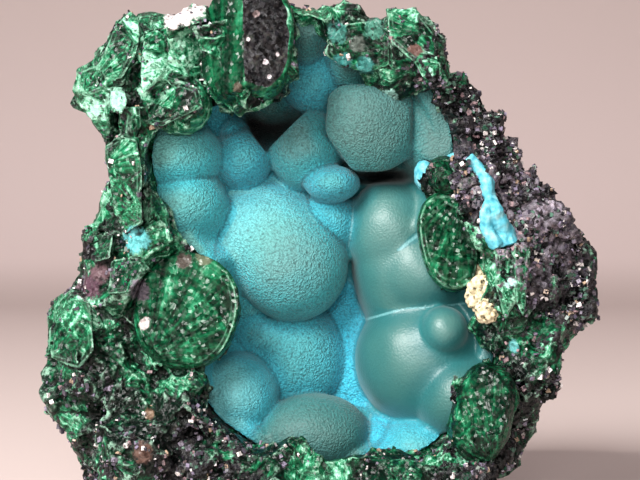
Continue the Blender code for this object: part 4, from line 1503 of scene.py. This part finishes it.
stone_finish, tree, shader = new_finish("malachite_and_ore")
place = object_place(tree)
green, rim, crevice, tone, pale, patch_share = (
    attribute_of(tree, name) for name in ("green", "rim", "crevice", "tone", "pale", "patch_share")
)
growth = attribute_of(tree, "growth", "Vector")
direction = vector_of(tree, "NORMALIZE", {0: growth})
length = add_node(tree, "ShaderNodeVectorMath", {0: growth}, operation="LENGTH").outputs[1]
fibres = {"Vector": direction, "Scale": 9.0, "Detail": 3.0, "Roughness": 0.65}
streaks = add_node(tree, "ShaderNodeTexNoise", fibres).outputs["Fac"]
rings = {"W": times(tree, length, 1.1), "Scale": 1.0, "Detail": 2.0}
bands = add_node(tree, "ShaderNodeTexNoise", rings, noise_dimensions="1D").outputs["Fac"]
mottle = noise_of(tree, place, 1.2, 5.0, roughness=0.7)
unmixed = between(tree, green, 1.4, 1.2)
contrast = calculate(tree, "MULTIPLY_ADD", unmixed, 0.3, 0.65)
silk = add(
    tree, times(tree, less(tree, streaks, 0.5), contrast), calculate(tree, "MULTIPLY_ADD", bands, 0.15, 0.475)
)
silk = add(tree, silk, times(tree, less(tree, tone, 0.72), 0.34))
mottling = calculate(tree, "MULTIPLY_ADD", unmixed, 0.2, 0.1)
silk = add(tree, silk, times(tree, less(tree, mottle, 0.5), mottling))
malachite = ramp_of(tree, silk, MALACHITE)
# painted highlight on the convex ridges of broken faces
ridge_highlight = times(tree, between(tree, crevice, -0.03, -0.18), between(tree, mottle, 0.45, 0.62))
malachite = mix_colours(tree, times(tree, ridge_highlight, 0.6), malachite, RIDGE_HIGHLIGHT)
edge = times(tree, between(tree, rim, 0.02, 0.06), between(tree, rim, 0.32, 0.2))
second = times(tree, between(tree, rim, 0.62, 0.7), between(tree, rim, 0.92, 0.8))
edge = add(tree, edge, times(tree, second, 0.4), clamp=True)
edge = times(tree, edge, between(tree, noise_of(tree, place, 2.2), 0.36, 0.56))
malachite = mix_colours(tree, times(tree, edge, 0.5), malachite, RIM_SHADE)
print("malachite takes", len(tree.nodes), "nodes")

# %% [markdown]
# ## Ore, and where the two meet
# The ore's crumbs and its crystals' own tints are laid over one another. The share of malachite,
# roughened by noise, then picks malachite or ore at each point, with no blend between, as in a
# real rock. Stains and a few painted glints lie over both, and painted shade darkens the crevices.

# %% The stone's finish: ore
ORE = (
    (0.30, (6, 6, 8)), (0.42, (46, 42, 52)), (0.52, (94, 86, 102)), (0.62, (148, 138, 148)), (0.74, (226, 214, 214)),
)
TINTS = (
    (0.0, (150, 140, 170)), (0.3, (120, 126, 128)), (0.5, (90, 140, 116)), (0.66, (170, 140, 150)),
    (0.82, (184, 158, 134)),
)
UNBLEACHED, BLEACHED = colour(112, 122, 112), colour(255, 255, 255)
PALE_DUST = colour(176, 166, 174)
PATCH_GROUND = colour(30, 34, 34)
CREVICE_SHADOW_SHADE = colour(5, 10, 9)

specks = add_node(tree, "ShaderNodeGroup", {"Size": 0.5, "Tilt": 1.2}, node_tree=sparkle)
crumbs = noise_of(tree, place, 0.7, 5.0, roughness=0.8)
lumps = times(tree, less(tree, noise_of(tree, place, 3.4, 2.0), 0.5), 0.5)
ore = ramp_of(tree, add(tree, crumbs, lumps), ORE)
tints = ramp_of(tree, specks.outputs["Tone"], TINTS, stepped=True)
ore = mix_colours(tree, 0.35, ore, tints, "OVERLAY")
ore = mix_colours(tree, 1.0, ore, mix_colours(tree, pale, UNBLEACHED, BLEACHED), "MULTIPLY")
ore = mix_colours(tree, times(tree, pale, 0.3), ore, PALE_DUST, "SCREEN")
mask = less(tree, noise_of(tree, place, 1.1, 4.0), 0.5)
mask = between(tree, add(tree, green, times(tree, mask, 1.4)), 0.42, 0.58)
stone = mix_colours(tree, mask, ore, malachite)
patch = attribute_of(tree, "patch", "Color")
patch_share = add(tree, patch_share, less(tree, mottle, 0.5))
patched = mix_colours(tree, between(tree, crumbs, 0.2, 0.5), PATCH_GROUND, patch)
stone = mix_colours(tree, between(tree, patch_share, 0.4, 0.6), stone, patched)
# painted shade: crevices are darkened nearly to black
painted_crevice_shade = between(tree, crevice, 0.02, 0.2)
stone = mix_colours(tree, times(tree, painted_crevice_shade, 0.9), stone, CREVICE_SHADOW_SHADE)
relief = add_node(tree, "ShaderNodeMix", {0: mask, 2: crumbs, 3: silk}).outputs[0]
bump = add_node(
    tree, "ShaderNodeBump",
    {"Strength": 0.6, "Distance": 0.35 * MM, "Height": relief, "Normal": specks.outputs["Normal"]},
)
tree.links.new(stone, shader.inputs["Base Color"])
tree.links.new(bump.outputs[0], shader.inputs["Normal"])
tree.links.new(calculate(tree, "MULTIPLY_ADD", crumbs, 0.5, 0.06), shader.inputs["Roughness"])
shader.inputs["Specular IOR Level"].default_value = 0.32
for piece in (rock, *masses):
    piece.data.materials.clear()
    piece.data.materials.append(stone_finish)
print(stone_finish.name, "has", len(tree.nodes), "nodes")

# %% [markdown]
# ## The finishes of the small pieces
# The vein is fresh chrysocolla, paler and bluer than the lobes. The cream patch is dark in its
# pits. A grain is one of several minerals, which its random number picks.

# %% The finishes of the small pieces
vein_finish, tree, shader = new_finish("fresh_chrysocolla")
place = object_place(tree)
clouds = noise_of(tree, place, 1.4, 4.0)
base = ramp_of(tree, clouds, ((0.3, (48, 138, 158)), (0.5, (90, 176, 192)), (0.7, (150, 208, 214))))
tree.links.new(base, shader.inputs["Base Color"])
tree.links.new(calculate(tree, "MULTIPLY_ADD", clouds, 0.3, 0.35), shader.inputs["Roughness"])
bump = add_node(tree, "ShaderNodeBump", {"Strength": 0.4, "Distance": 0.3 * MM, "Height": clouds})
tree.links.new(bump.outputs[0], shader.inputs["Normal"])
vein.data.materials.append(vein_finish)

cream_finish, tree, shader = new_finish("cream_grains")
place = object_place(tree)
spots = noise_of(tree, place, 0.8, 3.0)
base = ramp_of(tree, spots, (
    (0.34, (36, 34, 26)), (0.42, (176, 162, 128)), (0.6, (222, 208, 176)), (0.75, (238, 230, 206)),
))
pits = between(tree, attribute_of(tree, "crevice"), 0.02, 0.14)
base = mix_colours(tree, pits, base, colour(34, 32, 26))
tree.links.new(base, shader.inputs["Base Color"])
tree.links.new(calculate(tree, "MULTIPLY_ADD", spots, 0.3, 0.3), shader.inputs["Roughness"])
cream.data.materials.append(cream_finish)

grain_finish.use_nodes = True
tree = grain_finish.node_tree
shader = tree.nodes["Principled BSDF"]
mineral = ramp_of(tree, attribute_of(tree, "mineral"), (
    (0.0, (14, 13, 16)), (0.24, (66, 60, 74)), (0.4, (132, 124, 140)), (0.5, (26, 66, 48)),
    (0.62, (84, 120, 104)), (0.7, (150, 124, 128)), (0.78, (130, 120, 142)), (0.86, (170, 146, 124)),
    (0.92, (232, 224, 222)),
), stepped=True)
dust = noise_of(tree, object_place(tree), 0.4)
mineral = mix_colours(tree, between(tree, dust, 0.4, 0.7), mineral, colour(60, 58, 62))
tree.links.new(mineral, shader.inputs["Base Color"])
tree.links.new(calculate(tree, "MULTIPLY_ADD", dust, 0.3, 0.08), shader.inputs["Roughness"])
print("finishes:", vein_finish.name, cream_finish.name, grain_finish.name)

# %% [markdown]
# ## Floor and light
# A pale sheet that curves up behind the specimen gives a floor and a backdrop with no line between
# them. One large soft light, the window, stands up and to the left, in front. A small lamp beside
# it gives the waxy lobes their glints, a weak light in front fills the hollow, and the last lights
# the sheet behind. The scene is in metres from here on.

# %% Floor and light
SWEEP_HALF_WIDTH = 1.6
SWEEP_FRONT = -1.2
SWEEP_BACK = 0.9
SWEEP_RADIUS = 0.5
SWEEP_TOP = 1.6
SWEEP_STEPS = 24
AIM = (0.0, 0.0, 0.04)
LIGHTS = (  # name, place, what it is aimed at, size in m, power in W, colour
    ("window", (-0.42, -0.60, 0.50), AIM, 0.45, 15.0, (255, 253, 250)),
    ("lamp", (-0.45, -0.52, 0.74), AIM, 0.06, 2.2, (255, 248, 240)),
    ("front", (-0.05, -0.95, 0.22), AIM, 0.35, 4.5, (255, 250, 246)),
    ("wall", (0.0, 0.55, 0.9), (0.0, 1.1, -0.3), 1.0, 4.4, (255, 244, 244)),
)

profile = [(SWEEP_FRONT, 0.0)]
for step in range(SWEEP_STEPS + 1):
    angle = np.radians(90.0 * step / SWEEP_STEPS)
    risen = SWEEP_RADIUS * (1.0 - np.cos(angle))
    profile.append((SWEEP_BACK + SWEEP_RADIUS * np.sin(angle), risen))
profile.append((SWEEP_BACK + SWEEP_RADIUS, SWEEP_TOP))
bm = bmesh.new()
rows = [[bm.verts.new((side * SWEEP_HALF_WIDTH, y, z)) for y, z in profile] for side in (-1, 1)]
for k in range(len(profile) - 1):
    bm.faces.new((rows[0][k], rows[1][k], rows[1][k + 1], rows[0][k + 1]))
sweep = piece_from_bmesh("paper_sweep", bm)
shade_smooth(sweep)
paper, tree, shader = new_finish("pale_paper")
height = add_node(tree, "ShaderNodeSeparateXYZ", {0: object_place(tree)}).outputs[2]
# painted shading of the backdrop: darker on the floor, lighter low on the curve, darker higher up
tone = mix_colours(tree, between(tree, height, 0.0, 0.03), colour(198, 182, 178), colour(222, 205, 202))
tone = mix_colours(tree, between(tree, height, 0.04, 0.3), tone, colour(203, 187, 183))
tree.links.new(tone, shader.inputs["Base Color"])
shader.inputs["Roughness"].default_value = 0.9
sweep.data.materials.append(paper)


def soft_light(name, place, target, size, power, shade):
    light = bpy.data.lights.new(name, "AREA")
    light.shape = "DISK"
    light.size = size
    light.energy = power
    light.color = colour(*shade)[:3]
    lamp = bpy.data.objects.new(name, light)
    lamp.location = place
    lamp.rotation_euler = (Vector(target) - Vector(place)).to_track_quat("-Z", "Y").to_euler()
    bpy.context.scene.collection.objects.link(lamp)


for light in LIGHTS:
    soft_light(*light)
world = bpy.data.worlds.new("room")
bpy.context.scene.world = world
world.use_nodes = True
background = world.node_tree.nodes["Background"]
background.inputs["Color"].default_value = colour(226, 218, 216)
background.inputs["Strength"].default_value = 0.22
bpy.context.scene.view_settings.view_transform = "Standard"

# %% [markdown]
# ## Keeping to the box
# The plain solids say how much room the specimen takes, and a few grains and edges stand out past
# that. Their points are brought back to the box, which moves them by a fraction of a millimetre.

# %% Keep every piece inside the box
for piece in (rock, lining, vein, cream, *masses, *grains):
    points = get_points(piece)
    kept = keep_in_box(points)
    moved = np.abs(kept - points).max(axis=1) > 0.001
    print(piece.name, "had", int(moved.sum()), "points outside the box")
    set_points(piece, kept)

# %% [markdown]
# ## Handing over
# A stone has no moving parts, so every piece rides on the one body. The rock and the crust take
# the places of the two plain solids. The other pieces are extra.

# %% Hand over
for piece, node, slot in ((rock, "host_rock", "malachite_rock"), (lining, "chrysocolla_lining", "chrysocolla")):
    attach(piece, "root")
    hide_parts(node)
for piece in (*masses, *grains, cream):
    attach(piece, "root")
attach(vein, "root")
